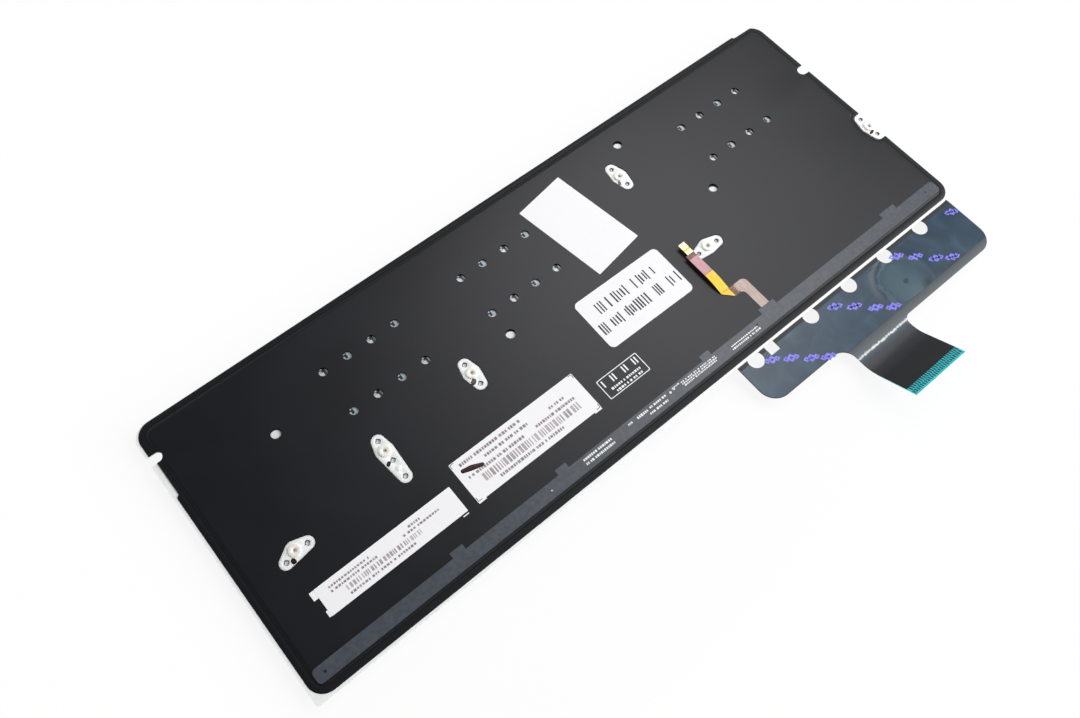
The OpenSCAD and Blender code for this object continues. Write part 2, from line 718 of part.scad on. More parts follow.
// Screw brackets, riveted to the plate around their threaded bosses
module bracket(b) {
    color([0.9, 0.93, 0.94]) difference() {
        translate([0, 0, z_guide]) linear_extrude(height = bracket_t) bracket_outline(b, 0);
        round_at(b[0], z_guide - cut, rivet_d, bracket_t + 2 * cut);
        round_at(b[1], z_guide - cut, shank_d, bracket_t + 2 * cut);
        round_at(b[2], z_guide - cut, rivet_d, bracket_t + 2 * cut);
        if (b == LONG_BRACKET) round_at(spare_rivet, z_guide - cut, rivet_d, bracket_t + 2 * cut);
        if (b == EDGE_BRACKET)
            box_at(film_w / 2 + bracket_mid_r, b[1][1], z_guide - cut, 2 * bracket_mid_r,
                film_d, bracket_t + 2 * cut);
    }
    if (b == LONG_BRACKET)
        color("ivory") round_at(spare_pad, z_bracket_top - eps, spare_pad_d, spare_pad_h + eps);
}

module left_bracket() {
    bracket(LEFT_BRACKET);
}

module long_bracket() {
    bracket(LONG_BRACKET);
}

module inner_bracket() {
    bracket(INNER_BRACKET);
}

module upper_bracket() {
    bracket(UPPER_BRACKET);
}

module lower_bracket() {
    bracket(LOWER_BRACKET);
}

module edge_bracket() {
    bracket(EDGE_BRACKET);
}

module threaded_bosses() {
    color("cornsilk") for (b = BRACKETS) difference() {
        union() {
            round_at(b[1], z_plate, shank_d, z_bracket_top - z_plate + eps);
            intersection() {
                round_at(b[1], z_bracket_top, boss_d, z_boss_top - z_bracket_top);
                box_at(0, 0, z_bracket_top, film_w, film_d, z_boss_top);
            }
        }
        round_at(b[1], z_plate + boss_floor, thread_d, z_boss_top);
    }
}

module rivet(p) {
    round_at(p, z_plate, rivet_shank_d, plate_t + eps);
    round_at(p, z_guide, rivet_d, bracket_t - rivet_recess);
}

module bracket_rivets() {
    color("silver") {
        for (b = BRACKETS) {
            rivet(b[0]);
            rivet(b[2]);
        }
        rivet(spare_rivet);
    }
}

// Paper labels stuck on the film
module label(p) {
    color("white") translate([p[0], p[1], z_back]) rotate([0, 0, p[2]])
        linear_extrude(height = label_t) rounded(p[3], p[4], p[5]);
}

module plain_label() {
    label(PLAIN_LABEL);
}

module rounded_label() {
    label(ROUNDED_LABEL);
}

module wide_label() {
    label(WIDE_LABEL);
}

module narrow_label() {
    label(NARROW_LABEL);
}

base_plate();
light_guide();
reflector_film();
back_film();
light_strip();
light_diodes();
backlight_cable();
membrane_circuit();
membrane_spacer();
membrane_mask();
flap_liner();
tail_stiffener();
rubber_domes();
outer_levers();
inner_levers();
stabiliser_wires();
left_bracket();
long_bracket();
inner_bracket();
upper_bracket();
lower_bracket();
edge_bracket();
threaded_bosses();
bracket_rivets();
plain_label();
rounded_label();
wide_label();
narrow_label();
fixed_keys();
for (k = MOVING_KEYS) moving_key(k);
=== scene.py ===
import math
import random

import bmesh
import bpy
import numpy
from mathutils import Matrix, Vector
from mathutils.geometry import delaunay_2d_cdt


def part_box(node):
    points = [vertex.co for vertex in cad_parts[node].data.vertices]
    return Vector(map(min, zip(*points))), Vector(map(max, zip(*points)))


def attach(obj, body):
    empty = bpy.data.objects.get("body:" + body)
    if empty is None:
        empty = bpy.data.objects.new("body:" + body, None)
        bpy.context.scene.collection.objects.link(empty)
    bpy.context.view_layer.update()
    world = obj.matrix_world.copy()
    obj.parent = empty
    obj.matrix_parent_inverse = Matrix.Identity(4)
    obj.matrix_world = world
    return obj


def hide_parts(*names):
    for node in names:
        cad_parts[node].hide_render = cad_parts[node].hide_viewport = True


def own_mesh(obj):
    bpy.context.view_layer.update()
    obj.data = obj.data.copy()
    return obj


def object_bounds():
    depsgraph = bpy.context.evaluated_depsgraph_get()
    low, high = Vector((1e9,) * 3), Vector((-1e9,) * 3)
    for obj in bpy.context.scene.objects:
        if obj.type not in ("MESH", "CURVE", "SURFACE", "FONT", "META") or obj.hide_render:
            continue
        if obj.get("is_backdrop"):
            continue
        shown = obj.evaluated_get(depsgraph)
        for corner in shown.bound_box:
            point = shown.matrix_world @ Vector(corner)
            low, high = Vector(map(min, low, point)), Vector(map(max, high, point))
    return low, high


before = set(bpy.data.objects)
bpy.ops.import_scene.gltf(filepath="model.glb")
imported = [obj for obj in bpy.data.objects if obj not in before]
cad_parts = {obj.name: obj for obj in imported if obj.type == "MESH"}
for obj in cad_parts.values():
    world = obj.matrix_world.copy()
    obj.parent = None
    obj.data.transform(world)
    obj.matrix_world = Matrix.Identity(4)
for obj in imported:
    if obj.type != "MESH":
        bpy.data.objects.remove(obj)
cad_low, cad_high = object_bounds()

# Base plate: cold-rolled steel sheet, zinc plated and stamped. It carries the whole keyboard, and its bare
# edge shows beyond the film as a bright lip.
MM = 0.001
CHASSIS = "chassis"


def linear(colour):
    """An sRGB hex colour as linear red, green, blue and alpha."""
    parts = [int(colour[i:i + 2], 16) / 255 for i in (0, 2, 4)]
    return [c / 12.92 if c <= 0.04045 else ((c + 0.055) / 1.055) ** 2.4 for c in parts] + [1]


def connect(material, node, sockets):
    """Sets or feeds a node's sockets, by number or by a name such as Coat_Weight."""
    for name, value in sockets.items():
        socket = node.inputs[name if isinstance(name, int) else name.replace("_", " ")]
        if isinstance(value, bpy.types.NodeSocket):
            material.node_tree.links.new(value, socket)
        else:
            socket.default_value = value


def feed(material, **sockets):
    """Sets or feeds the shader's own sockets."""
    connect(material, material.node_tree.nodes["Principled BSDF"], sockets)


def surface(name, colour, roughness, **sockets):
    """A material with one shader."""
    material = bpy.data.materials.new(name)
    material.use_nodes = True
    feed(material, Base_Color=linear(colour), Roughness=roughness, **sockets)
    return material


def add(material, kind, *fed, stops=(), **settings):
    """Adds one node and gives its outputs. fed goes to its sockets in order, a name with a capital is a
    socket's, and any other is a setting of the node."""
    node = material.node_tree.nodes.new("ShaderNode" + kind)
    sockets = dict(enumerate(fed))
    for name, value in settings.items():
        if name[0].isupper():
            sockets[name] = value
        else:
            setattr(node, name, value)
    connect(material, node, sockets)
    if stops:
        ramp = node.color_ramp.elements
        while len(ramp) < len(stops):
            ramp.new(1)
        for element, (place, colour) in zip(ramp, stops):
            element.position = place
            element.color = linear(colour)
    return node.outputs


def grained(name, dark, light, size, depth, roughness, along=(1, 1, 1), **sockets):
    """A material whose grain, of a size and depth in mm, runs between two tones and lifts the surface. Most
    of the real grains are too fine to show, so they are drawn as coarse as they need to be. A small share in
    along draws the grain out that way."""
    material = surface(name, light, roughness, **sockets)
    place = add(material, "TexCoord")["Object"]
    drawn = add(material, "Mapping", place, Scale=along)["Vector"]
    noise = add(material, "TexNoise", drawn, Scale=1 / (size * MM), Detail=4)["Fac"]
    tone = add(material, "ValToRGB", noise, stops=((0.35, dark), (0.65, light)))["Color"]
    lift = add(material, "Bump", Height=noise, Distance=depth * MM, Strength=1)["Normal"]
    feed(material, Base_Color=tone, Normal=lift)
    return material


def dress(material, *nodes):
    """Gives CAD nodes their material."""
    for node in nodes:
        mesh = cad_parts[node].data
        mesh.materials.clear()
        mesh.materials.append(material)


# Zinc plate, rolled: nearly white and satin, with a faint grain drawn out along the sheet.
zinc_plated_steel = grained("rolled_zinc_plated_steel", "f6f8f8", "fdfefd", 0.8, 0.003, 0.5, (0.15, 1, 1),
                            Metallic=0.08)
dress(zinc_plated_steel, "base_plate")

# Membrane sheets: three polyester films, cut flat and stacked under the plate. The mask and the spacer show
# only as thin edges between the plate and the levers.
# Polyester, printed black: an even dark line with a little gloss.
mask_polyester = grained("black_printed_polyester", "131416", "1c1d20", 1.5, 0.002, 0.4, IOR=1.57)
dress(mask_polyester, "membrane_mask")
# Polyester, bare: clear with a cool haze.
spacer_polyester = grained("clear_polyester", "c0c6c9", "d4d8da", 2.5, 0.002, 0.25, IOR=1.57,
                           Transmission_Weight=0.4)
dress(spacer_polyester, "membrane_spacer")

# Scissor levers and domes: under each key an outer and an inner lever moulded in white acetal, crossed on
# two pins, and a silicone dome between the membrane and the cap. A spring wire steadies each of the widest
# keys. All of them fold flat as the key goes down, though here they stand as with the key up.
KEY_ROWS = [
    "esc f1 f2 f3 f4 f5 f6 f7 f8 f9 f10 f11 f12 insert delete",
    "grave 1 2 3 4 5 6 7 8 9 0 minus equals backspace",
    "tab q w e r t y u i o p open_bracket close_bracket backslash",
    "caps_lock a s d f g h j k l semicolon quote enter",
    "left_shift z x c v b n m comma period slash right_shift",
    "left_control function system left_alt space right_alt right_control arrow_left arrow_up arrow_right",
]
KEY_UNITS = {"backspace": 2, "tab": 1.5, "backslash": 1.5, "caps_lock": 1.75, "enter": 2.25,
             "left_shift": 2.25, "right_shift": 2.75, "left_control": 1.25, "left_alt": 1.25, "space": 5.5}
ROW_UNITS = 15
STABILISED = 2
LIFT_NODES = ("outer_levers", "inner_levers", "rubber_domes", "stabiliser_wires")
film_low, film_high = (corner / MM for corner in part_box("back_film"))
side_margin = 2.5
key_pitch = (film_high.x - film_low.x - 2 * side_margin) / ROW_UNITS
field_w = ROW_UNITS * key_pitch
field_d = 5.5 * key_pitch
cap_gap = 2.8
half_gap = 1
full_cap = key_pitch - cap_gap
half_cap = (full_cap - half_gap) / 2
cap_roof = 0.8
cap_wall = 0.9
skirt_room = 1.4
z_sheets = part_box("membrane_mask")[0].z / MM
z_pivot = (z_sheets + cap_roof) / 2
longest_lever = 9.6
lever_w, lever_bar, lever_t = 11.6, 0.9, 0.55
lever_edge, lever_corner = 0.1, 1.1
lever_gap, side_gap = 0.05, 0.3
inner_w = lever_w - 2 * (lever_bar + side_gap)
pin_r = 0.15
wire_r, wire_run, wire_bend, wire_ahead = 0.4, 6, 0.9, 6.2


def key_places():
    """Each key's name, middle and size, from the back row forwards and from +X to -X."""
    places = []
    for r, names in enumerate(KEY_ROWS):
        before = 0
        for name in names.split():
            units = KEY_UNITS.get(name, 1)
            x = field_w / 2 - (before + units / 2) * key_pitch
            y = field_d / 2 - r * key_pitch
            w = units * key_pitch - cap_gap
            before += units
            if r == 0:
                places.append((name, x, field_d / 2 - cap_gap / 2 - half_cap / 2, w, half_cap))
            elif name == "arrow_up":
                top = y + (key_pitch - cap_gap - half_cap) / 2
                places.append((name, x, top, w, half_cap))
                places.append(("arrow_down", x, top - half_cap - half_gap, w, half_cap))
            else:
                places.append((name, x, y, w, full_cap))
    return places


def arc(x, y, r, start, end, steps):
    """Points along an arc between two angles in degrees."""
    turns = (math.radians(start + (end - start) * i / steps) for i in range(steps + 1))
    return [(x + r * math.cos(a), y + r * math.sin(a)) for a in turns]


def circle(x, y, r, count):
    """A circle of so many points."""
    return arc(x, y, r, 0, 360 - 360 / count, count - 1)


def rounded(x, y, w, d, r, steps=5):
    """A rectangle with round corners, counter-clockwise."""
    u, v = w / 2 - r, d / 2 - r
    return (arc(x + u, y + v, r, 0, 90, steps) + arc(x - u, y + v, r, 90, 180, steps)
            + arc(x - u, y - v, r, 180, 270, steps) + arc(x + u, y - v, r, 270, 360, steps))


def at(outline, z):
    """An outline lifted to a height."""
    return [Vector((x, y, z)) for x, y in outline]


def turned(x, y, profile, count):
    """Rings of a round part, from its radii and heights."""
    return [at(circle(x, y, r, count), z) for r, z in profile]


def loft(bm, rings, ends=(False, False), closed=False, paint=0):
    """Skins rings of as many points each, and closes an end where asked."""
    made = [[bm.verts.new(point) for point in ring] for ring in rings]
    pairs = list(zip(made, made[1:])) + ([(made[-1], made[0])] if closed else [])
    for a, b in pairs:
        for i in range(len(a)):
            j = (i + 1) % len(a)
            bm.faces.new((a[i], a[j], b[j], b[i])).material_index = paint
    for ring, wanted in zip((made[0], made[-1]), ends):
        if wanted:
            bm.faces.new(ring).material_index = paint


def slab(bm, outline, low, high, paint=0):
    """A flat solid between two heights."""
    loft(bm, [at(outline, low), at(outline, high)], (True, True), paint=paint)


def piece(name, bm, materials, body, slot, *nodes):
    """Turns a mesh drawn in mm into a piece that rides on a body and stands for CAD nodes."""
    bmesh.ops.remove_doubles(bm, verts=bm.verts, dist=0.001)
    bmesh.ops.recalc_face_normals(bm, faces=bm.faces)
    bmesh.ops.scale(bm, vec=(MM, MM, MM), verts=bm.verts)
    mesh = bpy.data.meshes.new(name)
    bm.to_mesh(mesh)
    bm.free()
    for material in materials:
        mesh.materials.append(material)
    mesh.shade_smooth()
    mesh.set_sharp_from_angle(angle=math.radians(35))
    made = bpy.data.objects.new(name, mesh)
    bpy.context.scene.collection.objects.link(made)
    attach(made, body)
    if nodes:
        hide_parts(*nodes)
    return made


def lever_length(d):
    """Length of the levers under a cap of a depth."""
    return min(longest_lever, d - 2 * cap_wall - skirt_room)


def lever_tip(d):
    """How far the levers stand up, in radians."""
    return math.asin((z_sheets - cap_roof - lever_t - 2 * lever_gap) / lever_length(d))


def lever(bm, x, y, d, w, side):
    """One lever: a frame of round-edged bars, tipped about its pivot."""
    length = lever_length(d)
    turn = Matrix.Translation((x, y, z_pivot)) @ Matrix.Rotation(side * lever_tip(d), 4, "X")
    half = lever_t / 2
    rings = []
    for inset, z in ((0, lever_edge - half), (0, half - lever_edge), (lever_edge, half),
                     (lever_bar - lever_edge, half), (lever_bar, half - lever_edge),
                     (lever_bar, lever_edge - half), (lever_bar - lever_edge, -half), (lever_edge, -half)):
        ring = rounded(0, 0, w - 2 * inset, length - 2 * inset, lever_corner - 0.6 * inset, 3)
        rings.append([turn @ point for point in at(ring, z)])
    loft(bm, rings, closed=True)


def pins(bm, x, y):
    """The two pins on which the levers cross."""
    for side in (-1, 1):
        inner, outer = side * (inner_w / 2 - 0.2), side * (lever_w / 2 - 0.05)
        rings = [[Vector((x + u, y + v, z_pivot + w)) for v, w in circle(0, 0, pin_r, 12)]
                 for u in (inner, outer)]
        loft(bm, rings, (True, True))


def dome(bm, x, y, d):
    """Silicone dome, with its foot on the membrane and its crown in the cap."""
    foot = min(2.4, lever_length(d) / 2 - lever_bar - 0.25)
    crown = min(1.3, foot / 2)
    low = cap_roof + lever_gap
    profile = [(foot, z_sheets), (foot, z_sheets - 0.18), (foot - 0.08, z_sheets - 0.25),
               (foot - 0.2, z_sheets - 0.3), (foot * 0.86, z_sheets - 0.6), (foot * 0.74, z_sheets - 1.3),
               (crown * 1.08, z_sheets - 2), (crown, z_sheets - 2.3), (crown, low + 0.12), (crown - 0.1, low)]
    loft(bm, turned(x, y, profile, 24), (True, True), paint=1)


def wire(bm, x, y, w):
    """Spring wire under a wide key: a bar along its front, with an arm back to the plate at each end."""
    side, run, bend = w / 2 - 4, wire_run, wire_bend
    low = cap_roof + lever_gap + wire_r
    high = z_sheets - lever_gap - wire_r
    rise = low + (high - low) * bend / run
    path = [(-side, run, high), (-side, bend, rise), (-side + bend * 0.3, bend * 0.3, low),
            (-side + bend, 0, low), (side - bend, 0, low), (side - bend * 0.3, bend * 0.3, low),
            (side, bend, rise), (side, run, high)]
    path = [Vector(p) + Vector((x, y - wire_ahead, 0)) for p in path]
    rings = []
    for i, point in enumerate(path):
        ahead = (path[min(i + 1, len(path) - 1)] - path[max(i - 1, 0)]).normalized()
        across = ahead.cross(Vector((0, 0, 1))).normalized()
        up = across.cross(ahead)
        rings.append([point + across * u + up * v for u, v in circle(0, 0, wire_r, 10)])
    loft(bm, rings, (True, True), paint=2)


def lift(bm, x, y, w, d):
    """Everything that carries one keycap."""
    lever(bm, x, y, d, lever_w, 1)
    lever(bm, x, y, d, inner_w, -1)
    pins(bm, x, y)
    dome(bm, x, y, d)
    if w >= STABILISED * key_pitch - cap_gap:
        wire(bm, x, y, w)


# Acetal, moulded: waxy off-white, which lets a little light in.
moulded_acetal = grained("moulded_acetal", "dcdcd8", "ededea", 0.5, 0.004, 0.38, IOR=1.48,
                         Subsurface_Weight=0.2, Subsurface_Scale=0.0008)
# Silicone, moulded: milky and cool, half clear.
moulded_silicone = grained("moulded_silicone", "cfd3d4", "e2e4e4", 0.7, 0.004, 0.45, IOR=1.41,
                           Transmission_Weight=0.35)
# Spring steel, drawn: bright, with fine lines along the wire.
spring_steel = grained("drawn_spring_steel", "b4b8bb", "d2d5d6", 0.3, 0.002, 0.28, (0.05, 1, 1), Metallic=1)
LIFT_MATERIALS = (moulded_acetal, moulded_silicone, spring_steel)
fixed_lifts = bmesh.new()
for name, x, y, w, d in key_places():
    if "key_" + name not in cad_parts:
        lift(fixed_lifts, x, y, w, d)
        continue
    moving_lift = bmesh.new()
    lift(moving_lift, x, y, w, d)
    made = piece("lift_" + name, moving_lift, LIFT_MATERIALS, CHASSIS, "lever", *LIFT_NODES)
    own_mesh(made)
piece("fixed_lifts", fixed_lifts, LIFT_MATERIALS, CHASSIS, "lever", *LIFT_NODES[:3])

# Keycaps: injection-moulded ABS with a shallow dish and bare faces. Three clips inside each cap hold its
# levers. The caps of the moving keys are pieces of their own.
cap_h = 2.1
cap_r = 1.2
clip_d, clip_h, clip_root = 0.7, 0.9, 0.05
CAP_PROFILE = ((2.6, 0.1), (1.4, 0.05), (0.45, 0), (0.2, 0.04), (0.06, 0.16), (0, 0.4), (0, cap_h - 0.06),
               (0.06, cap_h), (cap_wall - 0.05, cap_h), (cap_wall, cap_h - 0.05), (cap_wall, cap_roof))


def keycap(bm, x, y, w, d):
    """A cap: its dished face, its skirt, the hollow under it and the clips."""
    loft(bm, [at(rounded(x, y, w - 2 * inset, d - 2 * inset, max(cap_r - inset * 0.5, 0.4)), z)
              for inset, z in CAP_PROFILE], (True, True))
    tip = lever_tip(d)
    clip_y = lever_length(d) / 2 * math.cos(tip) + lever_t / 2 * math.sin(tip) + 0.2
    for u, v, clip_w in ((-5, -clip_y - 0.35, 1.6), (5, -clip_y - 0.35, 1.6), (0, clip_y + 0.35, 3)):
        slab(bm, rounded(x + u, y + v, clip_w, clip_d, 0.15, 2), cap_roof - clip_root, cap_roof + clip_h)


# ABS, moulded in a spark-eroded tool: matt black with an even grit, drawn coarser than the real one.
moulded_abs = grained("eroded_black_abs", "121315", "1b1c1f", 0.3, 0.01, 0.55, IOR=1.53)
fixed_caps = bmesh.new()
for name, x, y, w, d in key_places():
    if "key_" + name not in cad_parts:
        keycap(fixed_caps, x, y, w, d)
        continue
    moving_cap = bmesh.new()
    keycap(moving_cap, x, y, w, d)
    piece("cap_" + name, moving_cap, [moulded_abs], "key_" + name, "keycap", "key_" + name)
piece("fixed_caps", fixed_caps, [moulded_abs], CHASSIS, "keycap", "fixed_keys")

# Membrane circuit: polyester film, printed dark on its back, with a flap and a tail beyond the plate. It was
# folded across the root of the tail, where a painted highlight draws a bright broken line along the fold.
tail_low, tail_high = (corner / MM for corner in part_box("membrane_circuit"))
tail_side_low, tail_side_high = (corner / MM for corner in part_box("tail_stiffener"))
plate_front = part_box("base_plate")[0].y / MM
tail_x = (tail_side_low.x + tail_side_high.x) / 2
tail_w = tail_side_high.x - tail_side_low.x
crease_y, crease_w, crease_waver = -79.4, 1.1, 0.3
# Painted shade and sheen along the tail's curl: a colour at each y in mm.
TAIL_PAINTED_CURL_LIGHT = ((-90, "080d11"), (-88, "1a1f24"), (-86.5, "272a30"), (-85, "2b2e35"), (-83, "353940"),
              (-81.5, "3d4851"), (-80.2, "4d5763"), (-78.6, "646b70"), (-75.6, "4e555b"), (-74.8, "3e3f40"),
              (-55, "2c2f32"))

# Polyester, printed dark: soft gloss over slow ripples. Its colours down the tail are painted shade and sheen
# that follow the curl of the tail from its tip to the plate. The painted highlight along the fold is broken
# into flakes 0.4 mm across. The flakes of the crease are drawn 0.4 mm across, coarser than the real ones.
printed = surface("dark_printed_polyester", "2b2e31", 0.36, IOR=1.57, Specular_IOR_Level=0.28)
place = add(printed, "TexCoord")["Object"]
parts = add(printed, "SeparateXYZ", place)
along = add(printed, "MapRange", parts["Y"], From_Min=tail_low.y * MM, From_Max=plate_front * MM)["Result"]
painted_curl_light = add(printed, "ValToRGB", along, stops=[((y - tail_low.y) / (plate_front - tail_low.y), colour)
                                               for y, colour in TAIL_PAINTED_CURL_LIGHT])["Color"]
waver = add(printed, "TexNoise", place, Scale=1 / (3 * MM), Detail=2)["Fac"]
waver = add(printed, "MapRange", waver, To_Min=-crease_waver * MM, To_Max=crease_waver * MM)["Result"]
# Painted highlight along the fold: a band round crease_y, wavered and broken into flakes, near white.
painted_fold_glint = add(printed, "Math", parts["Y"], waver, operation="ADD")[0]
painted_fold_glint = add(printed, "MapRange", painted_fold_glint, From_Min=(crease_y - crease_w / 2) * MM,
             From_Max=(crease_y + crease_w / 2) * MM, To_Min=-1, clamp=False)["Result"]
painted_fold_glint = add(printed, "Math", painted_fold_glint, operation="ABSOLUTE")[0]
drawn = add(printed, "Mapping", place, Scale=(1, 0.35, 1))["Vector"]
flakes = add(printed, "TexNoise", drawn, Scale=1 / (0.4 * MM), Detail=2, Roughness=0.8)["Fac"]
flakes = add(printed, "MapRange", flakes, From_Min=0.3, From_Max=0.7, To_Max=1.1)["Result"]
painted_fold_glint = add(printed, "Math", painted_fold_glint, flakes, operation="ADD")[0]
painted_fold_glint = add(printed, "MapRange", painted_fold_glint, From_Min=0.6, From_Max=1.6, To_Min=1, To_Max=0)["Result"]
on_tail_width = add(printed, "Math", parts["X"], tail_x * MM, (tail_w / 2 + 1) * MM, operation="COMPARE")[0]
painted_fold_glint = add(printed, "Math", painted_fold_glint, on_tail_width, operation="MULTIPLY")[0]
painted_curl_light = add(printed, "Mix", data_type="RGBA", Factor=painted_fold_glint, A=painted_curl_light, B=linear("eff1f2"))["Result"]
ripple = add(printed, "TexNoise", place, Scale=1 / (9 * MM), Detail=2)["Fac"]
soft = add(printed, "Bump", Height=ripple, Distance=0.25 * MM, Strength=1)["Normal"]
feed(printed, Base_Color=painted_curl_light, Normal=soft)
dress(printed, "membrane_circuit")

# Contact end of the tail: carbon pads printed on a teal film, in two staggered rows a millimetre apart, with
# a stiffener of the same teal polyester glued under them.
CONTACTS = 25
contact_pitch, contact_w, contact_reach = 1.0, 0.6, 3.9
contact_low, contact_high = 0.01, 0.025
flap_low, flap_high = (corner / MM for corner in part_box("flap_liner"))
flap_t = flap_low.z - tail_low.z
tail_slope = math.radians(29.5)
# Polyester, dyed in the mass: strong teal, smooth.
teal_polyester = grained("teal_polyester", "02c6d2", "10dce4", 0.8, 0.002, 0.35, IOR=1.57)
# Carbon ink, printed and glazed by the film's teal: dark blue-green bars.
printed_contact = grained("printed_contact", "053b44", "0a505a", 0.3, 0.003, 0.4, IOR=1.5)
dress(teal_polyester, "tail_stiffener")


def oblong(w, d):
    """The corners of a rectangle about its middle."""
    return (-w / 2, -d / 2), (w / 2, -d / 2), (w / 2, d / 2), (-w / 2, d / 2)


def on_tail(u, s, lift_by):
    """A point s mm back from the tail's tip along its slope, lifted off its upper face."""
    tip_y = tail_low.y + flap_t * math.sin(tail_slope)
    tip_z = tail_high.z
    return Vector((tail_x + u, tip_y + s * math.cos(tail_slope) + lift_by * math.sin(tail_slope),
                   tip_z - s * math.sin(tail_slope) + lift_by * math.cos(tail_slope)))


def tail_bar(bm, u, s, w, d, low, high, paint):
    """A flat bar on the tail's slope."""
    loft(bm, [[on_tail(u + du, s + ds, z) for du, ds in oblong(w, d)] for z in (low, high)], (True, True),
         paint=paint)


tail_end = bmesh.new()
tail_bar(tail_end, 0, contact_reach / 2, tail_w - 0.1, contact_reach - 0.1, -0.03, contact_low, 0)
for i in range(CONTACTS):
    u = (i - (CONTACTS - 1) / 2) * contact_pitch
    for shift, s, d in ((-0.2, 1.3, 1.5), (0.2, 3, 1.6)):
        tail_bar(tail_end, u + shift, s, contact_w, d, contact_low, contact_high, 1)
piece("tail_contacts", tail_end, [teal_polyester, printed_contact], CHASSIS, "stiffener")

# Liner: release film over the flap's adhesive, die-cut with it. It lifts in one round bubble beside the tail
# and ripples slightly elsewhere.
liner_x0, liner_x1 = flap_low.x, flap_high.x
liner_y0, liner_y1 = flap_low.y, flap_high.y
liner_floor = flap_low.z
liner_t = flap_high.z - flap_low.z
LINER_HOLES = (122.9, 102.9, 83.1, 62.9, 35)
liner_hole_r = 3.1
bubble_x, bubble_y, bubble_r = 101, -69, 11.5


def even_odd(points, outlines):
    """Which points lie inside an odd number of outlines."""
    inside = numpy.zeros(len(points), bool)
    px, py = points[:, :1], points[:, 1:2]
    for outline in outlines:
        a = numpy.array(outline, float)
        b = numpy.roll(a, -1, axis=0)
        rise = numpy.where(b[:, 1] == a[:, 1], 1e-12, b[:, 1] - a[:, 1])
        crossed = (a[:, 1] > py) != (b[:, 1] > py)
        crossed &= px < (b[:, 0] - a[:, 0]) * (py - a[:, 1]) / rise + a[:, 0]
        inside ^= crossed.sum(axis=1) % 2 == 1
    return inside


def fill(bm, outlines, height, spacing=None, paint=0):
    """Triangles between an edge and its holes. height is a number, or a function of x and y."""
    points = [tuple(p) for outline in outlines for p in outline]
    sides, first = [], 0
    for outline in outlines:
        sides += [(first + i, first + (i + 1) % len(outline)) for i in range(len(outline))]
        first += len(outline)
    if spacing:
        edge = numpy.array(points)
        xs = numpy.arange(edge[:, 0].min(), edge[:, 0].max(), spacing)
        ys = numpy.arange(edge[:, 1].min(), edge[:, 1].max(), spacing)
        spots = numpy.array([(x + spacing / 2 * (j % 2), y) for j, y in enumerate(ys) for x in xs])
        spots = spots[even_odd(spots, outlines)]
        near = numpy.sqrt(((spots[:, None] - edge[None]) ** 2).sum(axis=2)).min(axis=1)
        points += [tuple(p) for p in spots[near > spacing * 0.45]]
    corners, _, faces, *_ = delaunay_2d_cdt([Vector(p) for p in points], sides, [], 0, 1e-5)
    middles = numpy.array([sum((corners[i] for i in face), Vector((0, 0))) / len(face) for face in faces])
    lift_to = height if callable(height) else (lambda x, y: height)
    made = [bm.verts.new((x, y, lift_to(x, y))) for x, y in corners]
    for face, kept in zip(faces, even_odd(middles, outlines)):
        if kept:
            bm.faces.new([made[i] for i in face]).material_index = paint
    bmesh.ops.delete(bm, geom=[v for v in made if not v.link_faces], context="VERTS")


def thicken(bm, depth):
    """Gives an open sheet a thickness, downwards."""
    grown = bmesh.ops.extrude_face_region(bm, geom=bm.faces[:])
    moved = [part for part in grown["geom"] if isinstance(part, bmesh.types.BMVert)]
    bmesh.ops.translate(bm, vec=(0, 0, -depth), verts=moved)


def stretch(a, b, steps):
    """Points between two ends, without the ends."""
    return [(a[0] + (b[0] - a[0]) * i / steps, a[1] + (b[1] - a[1]) * i / steps) for i in range(1, steps)]


def liner_height(x, y):
    """Height of the liner's upper face, with its bubble and ripples."""
    r = math.hypot(x - bubble_x, y - bubble_y)
    ring = 0.16 * math.exp(-((r - bubble_r) / 1.5) ** 2) + 0.1 * math.exp(-(r / 7) ** 2)
    swirl = 0.012 * math.cos(r * 2.4) * math.exp(-(r / 10) ** 2)
    waves = 0.035 * math.sin(x / 6 + y / 9) + 0.03 * math.sin(x / 14 - y / 5)
    return liner_floor + liner_t + max(0.0, ring + swirl + waves)


def liner_outline():
    """The die-cut edge: round outer corners, a fillet at the tail's root, and bites out of the inner edge."""
    corner, corner_y, root = 6.8, -71.3, 5.7
    lobe_y = liner_y0 + 2.5
    fillet = (57.8, -78.3)
    cut = math.degrees(math.asin((liner_y0 - fillet[1]) / root))
    turn = math.degrees(math.asin((liner_y0 - corner_y) / corner))
    points = arc(liner_x0 + corner, lobe_y + corner, corner, 180, 270, 10)
    points += stretch(points[-1], (fillet[0], lobe_y), 12)
    points += arc(*fillet, root, 90, cut, 8)
    points += stretch(points[-1], (liner_x1 - corner + corner * math.cos(math.radians(turn)), liner_y0), 40)
    points += arc(liner_x1 - corner, corner_y, corner, turn, 0, 6)
    points += stretch(points[-1], (liner_x1, liner_y1), 8)
    points.append((liner_x1, liner_y1))
    for x in LINER_HOLES:
        if x == LINER_HOLES[-1]:
            points += [(45, liner_y1), (45, liner_y1 - 2.3), (40.6, liner_y1 - 2.3), (40.6, liner_y1)]
        points += arc(x, liner_y1 - 0.1, liner_hole_r, 2, -182, 20)
    return points + [(liner_x0, liner_y1)]


